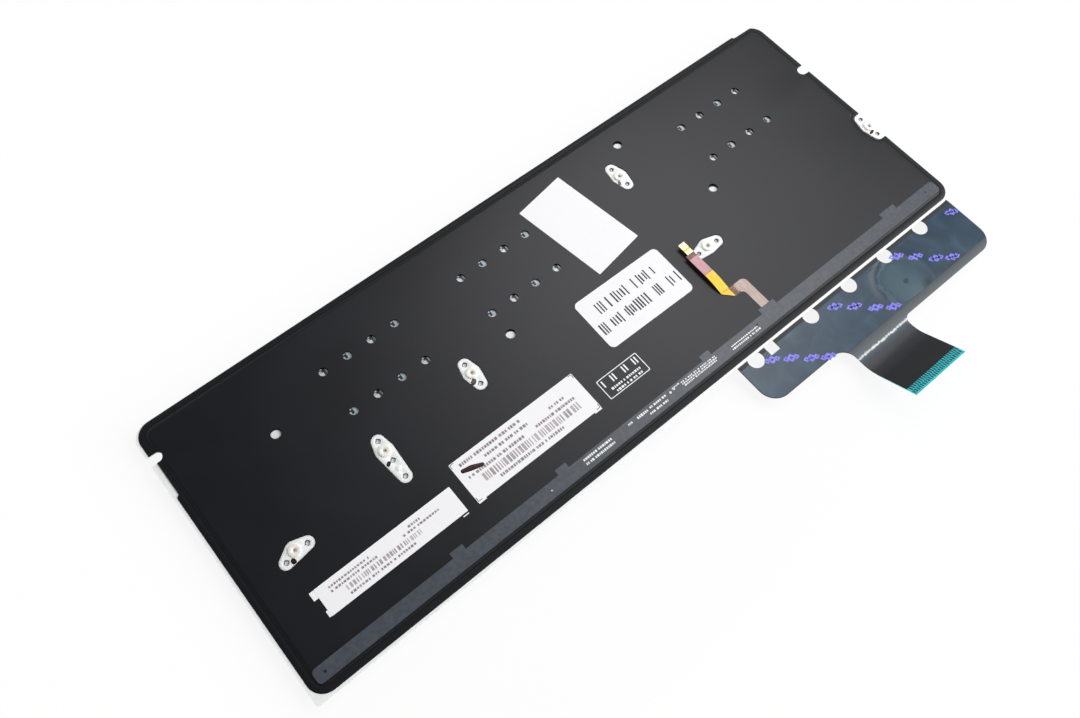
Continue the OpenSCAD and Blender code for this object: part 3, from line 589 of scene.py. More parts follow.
# Polyester, siliconed for release: slate teal, glossy, with slow clouds. The bubble's lifted edge is painted
# light
# and shade: pale and dark rings with a frayed edge, faint on the right. A dark patch lies beside its middle.
release_film = surface("glossy_release_film", "1f3f4e", 0.24, IOR=1.57)
place = add(release_film, "TexCoord")["Object"]
clouds = add(release_film, "TexNoise", place, Scale=1 / (14 * MM), Detail=3, Distortion=1.2)["Fac"]
shades = add(release_film, "ValToRGB", clouds, stops=((0.3, "203646"), (0.5, "284053"), (0.7, "324d61")))
away = add(release_film, "VectorMath", place, (bubble_x * MM, bubble_y * MM, liner_floor * MM),
           operation="DISTANCE")["Value"]
fray = add(release_film, "TexNoise", place, Scale=1 / (4 * MM), Detail=3, Distortion=0.8)["Fac"]
fray = add(release_film, "MapRange", fray, To_Min=-2.5 * MM, To_Max=2.5 * MM)["Result"]
away = add(release_film, "Math", away, fray, operation="ADD")[0]
ring_share = add(release_film, "MapRange", away, From_Max=1.25 * bubble_r * MM)["Result"]
# Painted light and shade of the bubble's edge, by distance from its middle.
painted_bubble_rings = add(release_film, "ValToRGB", ring_share, stops=(
    (0.03, "20343c"), (0.07, "48626c"), (0.5, "3f5966"), (0.64, "364e5d"), (0.72, "4d6673"), (0.8, "203541"),
    (0.9, "284053")))["Color"]
painted_ring_mask = add(release_film, "MapRange", ring_share, From_Min=0.78, From_Max=0.98, To_Min=0.8,
                To_Max=0)["Result"]
parts = add(release_film, "SeparateXYZ", place)
painted_ring_fade = add(release_film, "MapRange", parts["X"], From_Min=(bubble_x + 1) * MM,
                From_Max=(bubble_x + 12) * MM, To_Min=1, To_Max=0.15)["Result"]
painted_ring_mask = add(release_film, "Math", painted_ring_mask, painted_ring_fade, operation="MULTIPLY")[0]
shades = add(release_film, "Mix", data_type="RGBA", Factor=painted_ring_mask, A=shades["Color"],
             B=painted_bubble_rings)["Result"]
# A darker patch beside the bubble's middle.
dark_patch = add(release_film, "VectorMath", place, ((bubble_x + 6) * MM, (bubble_y - 5.5) * MM, liner_floor * MM),
            operation="DISTANCE")["Value"]
dark_patch = add(release_film, "Math", dark_patch, fray, operation="ADD")[0]
dark_patch = add(release_film, "MapRange", dark_patch, From_Min=0.8 * MM, From_Max=3 * MM, To_Min=0.7,
            To_Max=0)["Result"]
shades = add(release_film, "Mix", data_type="RGBA", Factor=dark_patch, A=shades, B=linear("14242b"))["Result"]
feed(release_film, Base_Color=shades)
flap_liner = bmesh.new()
fill(flap_liner, [liner_outline()], liner_height, 1.3)
thicken(flap_liner, liner_t)
piece("release_liner", flap_liner, [release_film], CHASSIS, "liner", "flap_liner")

# Liner's print: one slanted row of generic lozenges for each row of holes, printed on the film before it was
# cut. They follow its ripples.
INK_T = 0.02
LOZENGES = ((39.5, -60.2), (45.3, -63.9), (50.9, -68.4), (56, -71.8), (72.5, -59.6), (78.2, -64),
            (83.9, -69.2), (89.3, -73), (106.2, -59.6), (111.8, -64.2), (117.4, -69.4), (122.7, -72.9),
            (138.2, -59.8))
lozenge_turn = math.radians(-22)


def swing(u, v, turn):
    """A point turned about the origin."""
    return u * math.cos(turn) - v * math.sin(turn), u * math.sin(turn) + v * math.cos(turn)


# Violet ink, flexo printed: lively and thin, with a slight mottle.
violet_ink = grained("violet_flexo_ink", "6a64e2", "9691f6", 0.6, 0.002, 0.35, IOR=1.5)
lozenge_print = bmesh.new()
for x, y in LOZENGES:
    for middle, reach in ((-1.9, 1.35), (0, 2), (1.9, 1.35)):
        ends = ((-reach, 0), (0, -reach * 0.8), (reach, 0), (0, reach * 0.8))
        outer = [swing(middle + u, v, lozenge_turn) for u, v in ends]
        outer = [(min(u + x, liner_x1 - 0.3), min(max(v + y, liner_y0 + 0.2), liner_y1 - 0.3))
                 for u, v in outer]
        mid_x, mid_y = (sum(values) / 4 for values in zip(*outer))
        rings = [[Vector((mid_x + (u - mid_x) * share, mid_y + (v - mid_y) * share, 0)) for u, v in outer]
                 for share in (1, 0.35, 0.35, 1)]
        for ring, z in zip(rings, (INK_T, INK_T, 0.005, 0.005)):
            for point in ring:
                point.z = liner_height(point.x, point.y) + z
        loft(lozenge_print, rings, closed=True)
piece("liner_lozenges", lozenge_print, [violet_ink], CHASSIS, "liner")

# Screw brackets: steel, stamped and nickel plated, then riveted to the plate. Each lies in a cut-out of the
# film. One is cut off at the keyboard's edge, and the long one has a spare rivet and a nub.
BRACKETS = {
    "left": ((-129.6, -13.9), (-125.5, -12.3), (-121.1, -12.7)),
    "long": ((-84.5, 0.9), (-84.7, -3.2), (-84.5, -14.3)),
    "inner": ((-45.4, 5), (-45.4, 1), (-45.4, -3.8)),
    "upper": ((48.5, 34.8), (48.8, 30.6), (48.9, 26.2)),
    "lower": ((57.9, -13.2), (53.6, -12.8), (48.9, -13.2)),
    "edge": ((film_high.x - 2, -8.5), (film_high.x - 2, -12.8), (film_high.x - 2, -17.4)),
}
BRACKET_RADII = (2.4, 3.35, 2.4)
bracket_gap = 0.15
bracket_low, bracket_top = (corner.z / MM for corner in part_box("left_bracket"))
stamp_edge = 0.09
dimple_w = 1.9
screw_hole_r = 1.6
spare_rivet, spare_nub = (-84.4, -7.4), (-84.6, -10.8)
NUB_PROFILE = ((1.15, -0.02), (1.1, 0.1), (0.9, 0.2), (0.55, 0.27), (0.2, 0.29))


def seats(name):
    """Where the rivets sit in a bracket."""
    first, _, last = BRACKETS[name]
    return [first, last] + ([spare_rivet] if name == "long" else [])


def wrap(bracket, grow, start=0, end=360, steps=60, radii=BRACKET_RADII):
    """Outline round a bracket's three circles, grown by some mm. A full turn leaves out its last point."""
    points = []
    for i in range(steps if end - start == 360 else steps + 1):
        a = math.radians(start + (end - start) * i / steps)
        x, y, r = max(((x, y, r) for (x, y), r in zip(bracket, radii)),
                      key=lambda c: c[0] * math.cos(a) + c[1] * math.sin(a) + c[2])
        edge = film_high.x + min(grow, 0)
        points.append((min(x + (r + grow) * math.cos(a), edge), y + (r + grow) * math.sin(a)))
    return points


def dimple(spot, w, roundness=0.3):
    """A square with round corners, standing on one of them."""
    x, y = spot
    standing = [(u + v, v - u) for u, v in rounded(0, 0, w, w, w * roundness * 0.99, 4)]
    return [(x + u * math.sqrt(0.5), y + v * math.sqrt(0.5)) for u, v in standing]


def stamp(bm, edge, holes, low, high):
    """A stamped plate with a rounded upper edge. edge and holes give outlines grown by some mm."""
    for shape, side in [(edge, -1)] + [(hole, 1) for hole in holes]:
        loft(bm, [at(shape(0), low), at(shape(0), high - stamp_edge),
                  at(shape(side * stamp_edge * 0.3), high - stamp_edge * 0.3),
                  at(shape(side * stamp_edge), high)])
    fill(bm, [edge(-stamp_edge)] + [hole(stamp_edge) for hole in holes], high)
    fill(bm, [edge(0)] + [hole(0) for hole in holes], low)


# Nickel plate, left in the matt grain of the strip: near white, soft.
nickel_plate = grained("matt_nickel_plate", "f6fafa", "fefefe", 0.6, 0.005, 0.45, (1, 0.5, 1), Metallic=0.08)
for name, spots in BRACKETS.items():
    made = bmesh.new()
    stamp(made, lambda grow: wrap(spots, grow),
          [lambda grow, spot=spot: dimple(spot, dimple_w + 2 * grow) for spot in seats(name)]
          + [lambda grow: circle(*spots[1], screw_hole_r + grow, 30)], bracket_low, bracket_top)
    if name == "long":
        loft(made, turned(*spare_nub, [(r, bracket_top + z) for r, z in NUB_PROFILE], 24), (True, True))
    piece(name + "_bracket_plate", made, [nickel_plate], CHASSIS, "bracket", name + "_bracket")

# Rivets: soft steel, set flush in the brackets by a square punch, which leaves a dimple with sloping walls.
# A rounder punch set those of the brackets to the right.
ROUND_PITS = ("upper", "lower", "edge")
PIT = ((dimple_w, bracket_low), (dimple_w, bracket_top - 0.08), (dimple_w - 0.12, bracket_top - 0.02),
       (dimple_w - 0.25, bracket_top - 0.04))
# Soft steel, punched: pale, with a coarse scuffed grain.
rivet_steel = grained("punched_rivet_steel", "cdd1d1", "eef0ef", 0.25, 0.01, 0.4, Metallic=0.2)
# Steel, painted dark: painted shade on the wall round the dimple.
shaded_rivet_wall = grained("shade_painted_rivet_wall", "3c3f42", "63676a", 0.25, 0.01, 0.4, Metallic=0.6)
rivets = bmesh.new()
for name in BRACKETS:
    roundness, floor_w = (0.5, 0.8) if name in ROUND_PITS else (0.3, 1.15)
    for spot in seats(name):
        lip = [at(dimple(spot, w, 0.3 if w == dimple_w else roundness), z) for w, z in PIT]
        loft(rivets, lip, (True, False))
        foot = [at(dimple(spot, w, roundness), bracket_top - z) for w, z in ((floor_w, 0.4),
                                                                            (floor_w - 0.2, 0.43))]
        loft(rivets, [lip[-1], foot[0]], paint=1)
        loft(rivets, foot, (False, True))
piece("punched_rivets", rivets, [rivet_steel, shaded_rivet_wall], CHASSIS, "rivet", "bracket_rivets")

# Threaded bosses: turned brass, tinned, pressed through the bracket and the plate. The bore has the fine
# thread of a small screw.
boss_low, boss_high = (corner.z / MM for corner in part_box("threaded_bosses"))
boss_r, shank_r, thread_r, thread_pitch, thread_depth = 2.1, 1.6, 0.8, 0.4, 0.12
boss_profile = [(shank_r, boss_low), (shank_r, bracket_top), (boss_r, bracket_top),
                (boss_r, boss_high - 0.16), (boss_r - 0.05, boss_high - 0.05),
                (boss_r - 0.16, boss_high), (1.15, boss_high),
                (1.05, boss_high - 0.03), (thread_r + 0.12, boss_high - 0.05), (thread_r, boss_high - 0.15)]
for i in range(int((boss_high - boss_low - 0.5) / thread_pitch)):
    z = boss_high - 0.2 - i * thread_pitch
    boss_profile += [(thread_r - thread_depth, z), (thread_r - thread_depth, z - 0.06), (thread_r, z - 0.2),
                     (thread_r, z - 0.26)]
boss_profile += [(thread_r - 0.1, boss_low + 0.2)]
BOSS_FACE = 9
# Brass, tinned: warm cream with a dull shine.
tinned_brass = grained("tinned_brass", "f7f2e9", "fefbf7", 0.4, 0.004, 0.42, Metallic=0.12)
# Brass, cut: the pale wall of the bore.
cut_thread = grained("cut_brass_thread", "f3efeb", "fcfaf8", 0.4, 0.004, 0.35)
bosses = bmesh.new()
for spots in BRACKETS.values():
    rings = [[Vector((min(p.x, film_high.x), p.y, p.z)) for p in ring]
             for ring in turned(*spots[1], boss_profile, 48)]
    loft(bosses, rings[:BOSS_FACE], (True, False))
    loft(bosses, rings[BOSS_FACE - 1:], (False, True), paint=1)
piece("turned_bosses", bosses, [tinned_brass, cut_thread], CHASSIS, "boss", "threaded_bosses")

# Marking ink: lacquer dabbed by hand across the edge of five brackets after inspection. Each dab is thin,
# with an uneven outline.
DABS = ((-127.6, -14.9, 1.7, 2.1, 5), (-86.3, -7.6, 2.1, 1.4, 30), (-46.9, -2, 2.5, 1.7, 35),
        (46.8, 28.2, 1.3, 1.9, -20), (141.8, -15.4, 2.6, 1.3, 15))
DAB_T = 0.03
SQUARENESS = 0.75
rng = random.Random(7)


def dab(bm, x, y, w, d, turn):
    """An uneven round spot of ink."""
    wobble = [rng.uniform(0.86, 1.12) for _ in range(8)]
    outline = []
    for i in range(32):
        a = i / 32 * math.tau
        k = i / 4
        r = wobble[int(k) % 8] * (1 - k % 1) + wobble[(int(k) + 1) % 8] * (k % 1)
        u = math.copysign(abs(math.cos(a)) ** SQUARENESS, math.cos(a)) * w / 2 * r
        v = math.copysign(abs(math.sin(a)) ** SQUARENESS, math.sin(a)) * d / 2 * r
        outline.append(swing(u, v, math.radians(turn)))
    loft(bm, [at([(x + u * share, y + v * share) for u, v in outline], bracket_top + 0.005 + z)
              for share, z in ((1, 0), (0.97, DAB_T * 0.8), (0.8, DAB_T))], (True, True))


# Lacquer, dabbed: nearly black red-brown, glossy under its own skin.
marking_lacquer = grained("brown_marking_lacquer", "1c0b0d", "3d2022", 0.5, 0.01, 0.25, IOR=1.5,
                          Coat_Weight=0.4, Coat_Roughness=0.1)
dabs = bmesh.new()
for spot in DABS:
    dab(dabs, *spot)
piece("marking_dabs", dabs, [marking_lacquer], CHASSIS, "bracket")

# Hook roots: where the plate is slit and bent into a hook, flat patches at the bottom of each small hole
# stand for it
# in painted light and shade: a bright half, a shaded tongue and a narrow ridge with a painted glint, over a
# black disc that is partly the membrane and partly painted shade in the slit. They lie alternately on either
# side. The large holes show only the plate, with a painted shadow at one side.
LARGE_HOLES = ((-108.9, 24), (-25.7, 4.3), (58, 42), (73.3, 4.5))
SMALL_HOLES = [(gx + i * 9.9, 14.7 + j * 18.1, 1 if (i + j) % 2 == (gx < 0) else -1)
               for gx in (-84.4, -25.6, 83.5) for i in range(4) for j in range(2)]
large_r, root_r, root_rim = 1.95, 1.75, 0.02
root_z, root_t = film_low.z + 0.01, 0.04
# For a hole on either side: the left, right, front and back limits of each part, and its paint, a painted
# tone of light or shade.
ROOT_PARTS = {
    1: ((-2, 0.08, -2, 0.18, 2), (-2, -0.35, 0.22, 1, 0), (0.12, 0.85, -2, -0.1, 1),
        (1, 1.4, -1.2, 0.9, 2), (-0.7, 0.1, 1.2, 1.55, 2)),
    -1: ((0.02, 2, -2, 2, 0), (-2, -0.02, -2, -0.57, 0), (-2, -0.95, -0.53, 0.5, 0),
         (-1.1, -0.3, 1.1, 1.5, 2)),
}


def trimmed(outline, axis, limit, side):
    """The part of a convex outline on one side of a line along x or y."""
    kept = []
    for a, b in zip(outline, outline[1:] + outline[:1]):
        a_in, b_in = side * (a[axis] - limit) <= 0, side * (b[axis] - limit) <= 0
        if a_in:
            kept.append(a)
        if a_in != b_in:
            share = (limit - a[axis]) / (b[axis] - a[axis])
            kept.append((a[0] + (b[0] - a[0]) * share, a[1] + (b[1] - a[1]) * share))
    return kept


def dark_root(bm, x, y, r):
    """A black disc at the bottom of a hole: the membrane with painted shade in the slit of a small hole, a
    painted shadow in a large one.
    """
    slab(bm, circle(x, y, r + root_rim, 32), root_z, root_z + 0.01, 3)


def lit_root(bm, x, y, shape, paint):
    """A flat part of the plate at the bottom of a hole, in the tone of its paint, which in a small hole is
    painted light or shade.
    """
    slab(bm, [(x + u, y + v) for u, v in shape], root_z + 0.005, root_z + root_t, paint)


# Zinc plate, bent: painted shade, a cool grey for the hook's face that turns from the light.
shaded_root_steel = grained("shade_painted_bent_zinc_plated_steel", "a3b0bb", "c6d1d9", 0.8, 0.01, 0.4, Metallic=0.25)
# Zinc plate: a darker painted shade on the tongue's side that faces away from the light.
shaded_tongue_steel = grained("shade_painted_tongue_steel", "474f57", "606a73", 0.6, 0.01, 0.4, Metallic=0.25)
# Zinc plate, painted bright: a painted glint along a narrow ridge.
glint_steel = grained("glint_painted_zinc_plated_steel", "ccd7df", "e6edf2", 0.8, 0.006, 0.35, Metallic=0.15)
# Zinc plate, flat: white in the large holes.
white_root = grained("bright_zinc_plated_steel", "f4f6f7", "fcfcfd", 0.8, 0.004, 0.5, Metallic=0.05)
roots = bmesh.new()
for x, y, side in SMALL_HOLES:
    dark_root(roots, x, y, root_r)
    for left, right, front, back, paint in ROOT_PARTS[side]:
        shape = circle(0, 0, root_r, 32)
        for axis, limit, way in ((0, left, -1), (0, right, 1), (1, front, -1), (1, back, 1)):
            shape = trimmed(shape, axis, limit, way)
        lit_root(roots, x, y, shape, paint)
for x, y in LARGE_HOLES:
    # The white disc sits off the black one, so a painted shadow shows as a black crescent at one side, wider
    # towards +X.
    du = -0.2 - 0.0016 * (x - film_low.x)
    dark_root(roots, x, y, large_r)
    shape = []
    for u, v in circle(du, 1.6 * du, large_r, 32):
        share = min(1, large_r / math.hypot(u, v))
        shape.append((u * share, v * share))
    lit_root(roots, x, y, shape, 4)
piece("hook_roots", roots, [shaded_root_steel, shaded_tongue_steel, glint_steel, mask_polyester, white_root], CHASSIS,
      "plate")

# Light guide and reflector: acrylic sheet and polyester film between the plate and the back film, die-cut
# back from the holes and from the edge bracket. Only their thin edges ever show.
POCKETS = (-86.5, -43.7, 21.6, 118)
pocket_y, pocket_w, pocket_d = -45.35, 3.4, 1.8
film_corner = 6
step_x, step_in = film_high.x - 12, 1
step_y, left_in = 26, 1.1
right_notch, left_notch = (film_high.x - 1.85, 23.6, 2.05), (film_low.x + 2.15, 41.2, 1.75)
sheet_inset, sheet_around, sheet_room = 4.3, 2.9, 0.3


def film_outline(rim, around):
    """Outline of the film, inset by rim at its edges and standing off the edge bracket and its notch by
    around."""
    left, right = film_low.x + rim, film_high.x - rim
    back = film_high.y - rim
    u, v, r = film_high.x - film_corner, film_high.y - film_corner, film_corner - rim
    down, inward = max(step_in - rim, 0), max(left_in - rim, 0)
    cut = [(min(x, right), y) for x, y in wrap(BRACKETS["edge"], bracket_gap + around, -90, -270, 24)]
    x, y, notch_r = right_notch
    bite = [(min(x, right), y) for x, y in arc(x, y, notch_r + around / 2, -90, -270, 16)]
    nick = [(max(x, left + (inward if i > 8 else 0)), y)
            for i, (x, y) in enumerate(arc(*left_notch, 90, -90, 16))]
    corner = [(x, min(y, back - down)) for x, y in arc(u, v, r, 0, 90, 16)][:-4]
    corner += [(step_x + 1.6, back - down), (step_x, back - down), (step_x - 0.3, back - down * 0.2),
               (step_x - 0.7, back)]
    points = arc(-u, -v, r, 180, 270, 16)
    for run in (arc(u, -v, r, 270, 360, 16), [(right, cut[0][1])] + cut + [(right, cut[-1][1])],
                [(right, bite[0][1])] + bite + [(right, bite[-1][1])], corner, arc(-u, v, r, 90, 180, 16),
                [(left, nick[0][1])] + nick + [(left + inward, nick[-1][1])],
                [(left + inward, step_y), (left + inward * 0.2, step_y - 0.4), (left, step_y - 1)]):
        points += stretch(points[-1], run[0], 6) + run
    return points + stretch(points[-1], points[0], 6)


def cut_outs(grow):
    """The brackets' cut-outs and the round holes, grown by some mm."""
    shapes = [wrap(spots, bracket_gap + grow) for name, spots in BRACKETS.items() if name != "edge"]
    shapes += [circle(x, y, 1.6 + grow, 32) for x, y, side in SMALL_HOLES]
    return shapes + [circle(x, y, 1.8 + grow, 32) for x, y in LARGE_HOLES]


def pockets():
    """The diodes' pockets."""
    return [rounded(x, pocket_y, pocket_w, pocket_d, 0.1, 1) for x in POCKETS]


# Acrylic, cast: clear with a cold bright edge.
clear_acrylic = grained("clear_acrylic", "d6e0e2", "e8eff0", 3, 0.002, 0.15, IOR=1.49,
                        Transmission_Weight=0.7)
# Polyester, filled white: an even pale line.
white_polyester = grained("white_polyester", "e2e5e6", "f1f2f2", 1.2, 0.002, 0.4, IOR=1.57)
for node, slot, material in (("light_guide", "clear_plastic", clear_acrylic),
                             ("reflector_film", "white_film", white_polyester)):
    low, high = (corner.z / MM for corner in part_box(node))
    sheet = bmesh.new()
    fill(sheet, [film_outline(sheet_inset, sheet_around)] + cut_outs(sheet_room) + pockets(), high)
    thicken(sheet, high - low)
    piece(node + "_sheet", sheet, [material], CHASSIS, slot, node)

# Back film: polyester, embossed to a shallow tray so that it holds the light guide. Its edge is a low flange
# with a groove. Holes and cut-outs are punched through it, with a black collar down to the plate, whose dead
# black is partly painted shade.
film_t = 0.18
flange_z = film_low.z + film_t
panel_z = film_high.z
# From the edge inwards: the inset, how far it stands off the edge bracket, and the height.
FILM_PROFILE = ((0, 0, flange_z - 0.07), (0.1, 0.05, flange_z - 0.01), (0.3, 0.15, flange_z + 0.04),
                (0.8, 0.4, flange_z + 0.13), (1.3, 0.65, flange_z + 0.18), (1.7, 0.85, flange_z + 0.19),
                (2, 1, flange_z + 0.165), (2.25, 1.15, flange_z + 0.15), (2.5, 1.35, flange_z + 0.175),
                (2.8, 1.55, flange_z + 0.265), (3.1, 1.85, panel_z - 0.14), (3.4, 2.15, panel_z - 0.06),
                (3.7, 2.4, panel_z - 0.015), (4, 2.6, panel_z))
# Which steps of the profile are shoulder, groove, shoulder and panel.
RIM_PAINTS = ((0, 6, 3), (6, 8, 2), (8, 12, 3), (12, 13, 0))
collar_w, collar_low, collar_high = 0.15, film_low.z + 0.03, panel_z - film_t / 2

# Polyester, satin black: its matting is 0.35 mm across, coarser than the real one, and its tone and gloss
# drift slowly over the sheet.
satin_polyester = surface("black_satin_polyester", "0d0d0f", 0.38, IOR=1.5)
place = add(satin_polyester, "TexCoord")["Object"]
matting = add(satin_polyester, "TexNoise", place, Scale=1 / (0.35 * MM), Detail=3)["Fac"]
drift = add(satin_polyester, "TexNoise", place, Scale=1 / (30 * MM), Detail=2)["Fac"]
ink_tone = add(satin_polyester, "ValToRGB", drift, stops=((0.3, "0c0d13"), (0.7, "13141b")))["Color"]
sheen = add(satin_polyester, "MapRange", drift, To_Min=0.35, To_Max=0.41)["Result"]
satin = add(satin_polyester, "Bump", Height=matting, Distance=0.004 * MM, Strength=1)["Normal"]
feed(satin_polyester, Base_Color=ink_tone, Roughness=sheen, Normal=satin)
# Black glue and film, cut: dead matt, so that a hole has a dark edge; the dead black is partly painted shade.
edge_and_shade = grained("black_edge_and_painted_shade", "030304", "060607", 0.2, 0.003, 0.9, Specular_IOR_Level=0.1)
# The same film, pressed: the die dulls the groove most and its shoulders a little.
pressed_groove = grained("matt_pressed_polyester", "151619", "191a1e", 0.35, 0.004, 0.5,
                         Specular_IOR_Level=0.14)
pressed_shoulder = grained("dull_pressed_polyester", "111216", "16171c", 0.35, 0.004, 0.45,
                           Specular_IOR_Level=0.28)
film = bmesh.new()
film_rings = [at(film_outline(rim, around), z) for rim, around, z in FILM_PROFILE]
for first, last, paint in RIM_PAINTS:
    loft(film, film_rings[first:last + 1], paint=paint)
inner_edge = film_outline(*FILM_PROFILE[-1][:2])
fill(film, [inner_edge] + cut_outs(0) + pockets(), panel_z)
bmesh.ops.remove_doubles(film, verts=film.verts, dist=0.001)
thicken(film, film_t)
for inside, outside in zip(cut_outs(0), cut_outs(collar_w)):
    loft(film, [at(inside, collar_high), at(inside, collar_low), at(outside, collar_low),
                at(outside, collar_high)], closed=True, paint=1)
piece("embossed_back_film", film, [satin_polyester, edge_and_shade, pressed_groove, pressed_shoulder], CHASSIS,
      "black_film", "back_film")

# Light strip: flexible circuit in a cover film, glued along the front, with a white diode soldered under each
# tab. Rows of fine white print run along it.
INK_GAP = 0.003
strip_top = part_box("light_strip")[1].z / MM + INK_GAP
# Each row's start, end and middle line, and the height of its marks.
STRIP_ROWS = ((-36.3, -23.6, -46.9, 0.9), (-36.3, -23.9, -48.5, 0.9), (-16.5, -14.5, -46.9, 0.8),
              (-12.5, -7.2, -47, 1), (-6.7, 1.2, -46.8, 0.8), (-8, 0.2, -48.6, 0.8), (8, 24.3, -46.7, 0.55),
              (8, 24.3, -47.5, 0.55), (8.4, 24, -48.3, 0.55), (31.2, 44.6, -47.9, 0.55), (30.9, 45, -49, 0.7),
              (4, 7.4, -46.4, 0.5))


def flat(u, v):
    """The plane of the film itself."""
    return u, v


def bar(bm, u, v, w, d, low, thick=INK_T, paint=0, place=flat):
    """A bar of ink centred at u, v of a plane."""
    slab(bm, [place(u + du, v + dv) for du, dv in oblong(w, d)], low, low + thick, paint)


def print_row(bm, start, end, v, height, low, mean=0.75, gap=0.32):
    """A row of short bars of uneven length."""
    u = start
    while u < end - mean * 0.4:
        w = min(mean * rng.uniform(0.6, 1.4), end - u)
        bar(bm, u + w / 2, v, w, height * rng.uniform(0.8, 1), low)
        u += w + gap * (1 if rng.random() < 0.85 else 2.6)


# Polyimide under a slate cover film, laminated: smooth, with a faint even mottle.
slate_cover_film = grained("slate_cover_film", "40464e", "4c525b", 1.4, 0.008, 0.34, IOR=1.6)
dress(slate_cover_film, "light_strip")
# Epoxy, cast round the diodes: creamy and smooth.
diode_housing = grained("diode_housing", "ddd8ba", "f1edd6", 0.3, 0.004, 0.35, IOR=1.54)
dress(diode_housing, "light_diodes")
# White ink, screen printed: a flat cool white.
white_ink = grained("white_screen_ink", "e9ecef", "fbfcfc", 0.3, 0.002, 0.5, IOR=1.5)
# Holes drilled in the circuit: black dots.
black_via = grained("black_via", "060607", "0e0e10", 0.3, 0.002, 0.5, IOR=1.5)
strip_print = bmesh.new()
for start, end, v, height in STRIP_ROWS:
    print_row(strip_print, start, end, v, height, strip_top, 0.6, 0.25)
for outline in (dimple((2.7, -47.1), 0.8), dimple((4.5, -46.8), 0.8), circle(-50.9, -48.1, 0.25, 12)):
    slab(strip_print, outline, strip_top, strip_top + INK_T)
piece("strip_print", strip_print, [white_ink], CHASSIS, "strip")
vias = bmesh.new()
for x, y, r in ((-138.4, -48.1, 0.45), (136.2, -47.8, 0.4), (44.6, -47.4, 0.4), (40.4, -49.7, 0.3)):
    slab(vias, circle(x, y, r, 16), strip_top, strip_top + INK_T)
piece("strip_vias", vias, [black_via], CHASSIS, "strip")

# Backlight cable: a narrow polyimide circuit, etched and laminated. It is folded back on itself beside its
# joint and springs free of the film. Its cover film changes along the run.
cable_low, cable_high = (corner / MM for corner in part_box("backlight_cable"))
flex_t = 0.12
cable_w, contact_run_w = 3.8, 2.8
leg_x = cable_high.x - cable_w / 2
run_x = cable_low.x + cable_w / 2
contact_x = run_x + 0.5
fold_y, leg_end_y = -34.3, -43.45
turn_top = fold_y + cable_w
joint_x, joint_gap = 49.6, 0.02
ramp_len = 11
cable_lift = cable_high.z - panel_z - 2 * flex_t
cable_tip = cable_high.y
flex_top = panel_z + flex_t
leg_r, turn_r = 1.6, 2
# Polyimide cover films, laminated: tan at the leg, clear amber over copper on the run, mauve near the end
# with a brown glue line, gold plate at the contacts, and brown flux at the joint. A grain runs along each.
COVERS = {"tan": ("b39c91", "c4b0a7"), "amber": ("fbc60c", "ffd829"), "seam": ("8d4f16", "a96726"),
          "mauve": ("c48793", "d29aa4"), "brown": ("6c2f29", "8d4a42"), "gold": ("f0d896", "fdf1cd"),
          "joint": ("5f3019", "93552f")}
cover_films = [grained(name + "_cover_film", dark, light, 0.7, 0.003, 0.32, (1, 0.3, 1), IOR=1.6,
                       Metallic=0.35 if name == "gold" else 0) for name, (dark, light) in COVERS.items()]
paints = {name: i for i, name in enumerate(COVERS)}


def cable_z(y):
    """Height of the free run's underside over the film."""
    share = min(max((y - fold_y) / ramp_len, 0), 1)
    return flex_top + cable_lift * (1 - math.cos(math.pi * share)) / 2


def ribbon(bm, x, w, ys, ends, cover):
    """A stretch of the free run in one cover."""
    section = ((-w / 2, 0), (w / 2, 0), (w / 2, flex_t), (-w / 2, flex_t))
    loft(bm, [[Vector((x + u, y, cable_z(y) + v)) for u, v in section] for y in ys], ends,
         paint=paints[cover])


cable = bmesh.new()
start = turn_top
for end, cover in ((-21.9, "amber"), (-21.65, "seam"), (-13.8, "mauve"), (-11.9, "brown")):
    steps = max(1, round((end - start) / 1.1))
    ribbon(cable, run_x, cable_w, [start + (end - start) * i / steps for i in range(steps + 1)],
           (cover == "amber", cover == "brown"), cover)
    start = end
for start, end, cover in ((-12.1, -10.2, "gold"), (-10.2, -9.4, "amber"), (-9.4, cable_tip, "gold")):
    ribbon(cable, contact_x, contact_run_w, (start, (start + end) / 2, end),
           (start == -12.1, end == cable_tip), cover)
left, right = run_x - cable_w / 2, run_x + cable_w / 2
slab(cable, [(left, turn_top), (right - 0.25, fold_y + 0.12), (right, fold_y + 0.3), (right, turn_top)],
     flex_top + 0.005, flex_top + flex_t, paints["amber"])
joint_end = joint_x - joint_gap
slab(cable, [(left, turn_top), (right, fold_y), (joint_end, fold_y), (joint_end, turn_top)],
     panel_z, flex_top, paints["joint"])
leg = [(joint_x, fold_y), (leg_x - cable_w / 2 - leg_r, fold_y)]
leg += arc(leg_x - cable_w / 2 - leg_r, fold_y - leg_r, leg_r, 90, 0, 8)
leg += [(leg_x - cable_w / 2, leg_end_y), (leg_x + cable_w / 2, leg_end_y)]
leg += arc(leg_x + cable_w / 2 - turn_r, turn_top - turn_r, turn_r, 0, 90, 8) + [(joint_x, turn_top)]
for z in (panel_z, flex_top):
    fill(cable, [leg], z, paint=paints["tan"])
loft(cable, [at(leg, panel_z), at(leg, flex_top)], paint=paints["tan"])
piece("folded_backlight_cable", cable, cover_films, CHASSIS, "cable", "backlight_cable")
solder = bmesh.new()
for x, y, r in ((47.5, -31.6, 0.4), (48.3, -32.9, 0.45)):
    slab(solder, circle(x, y, r, 16), flex_top + INK_GAP, flex_top + INK_T)
piece("joint_vias", solder, [marking_lacquer], CHASSIS, "cable")
joint_dots = bmesh.new()
for i in range(6):
    bar(joint_dots, 49.2, -31 - i * 0.5, 0.3, 0.28, flex_top + INK_GAP)
piece("joint_dots", joint_dots, [white_ink], CHASSIS, "cable")

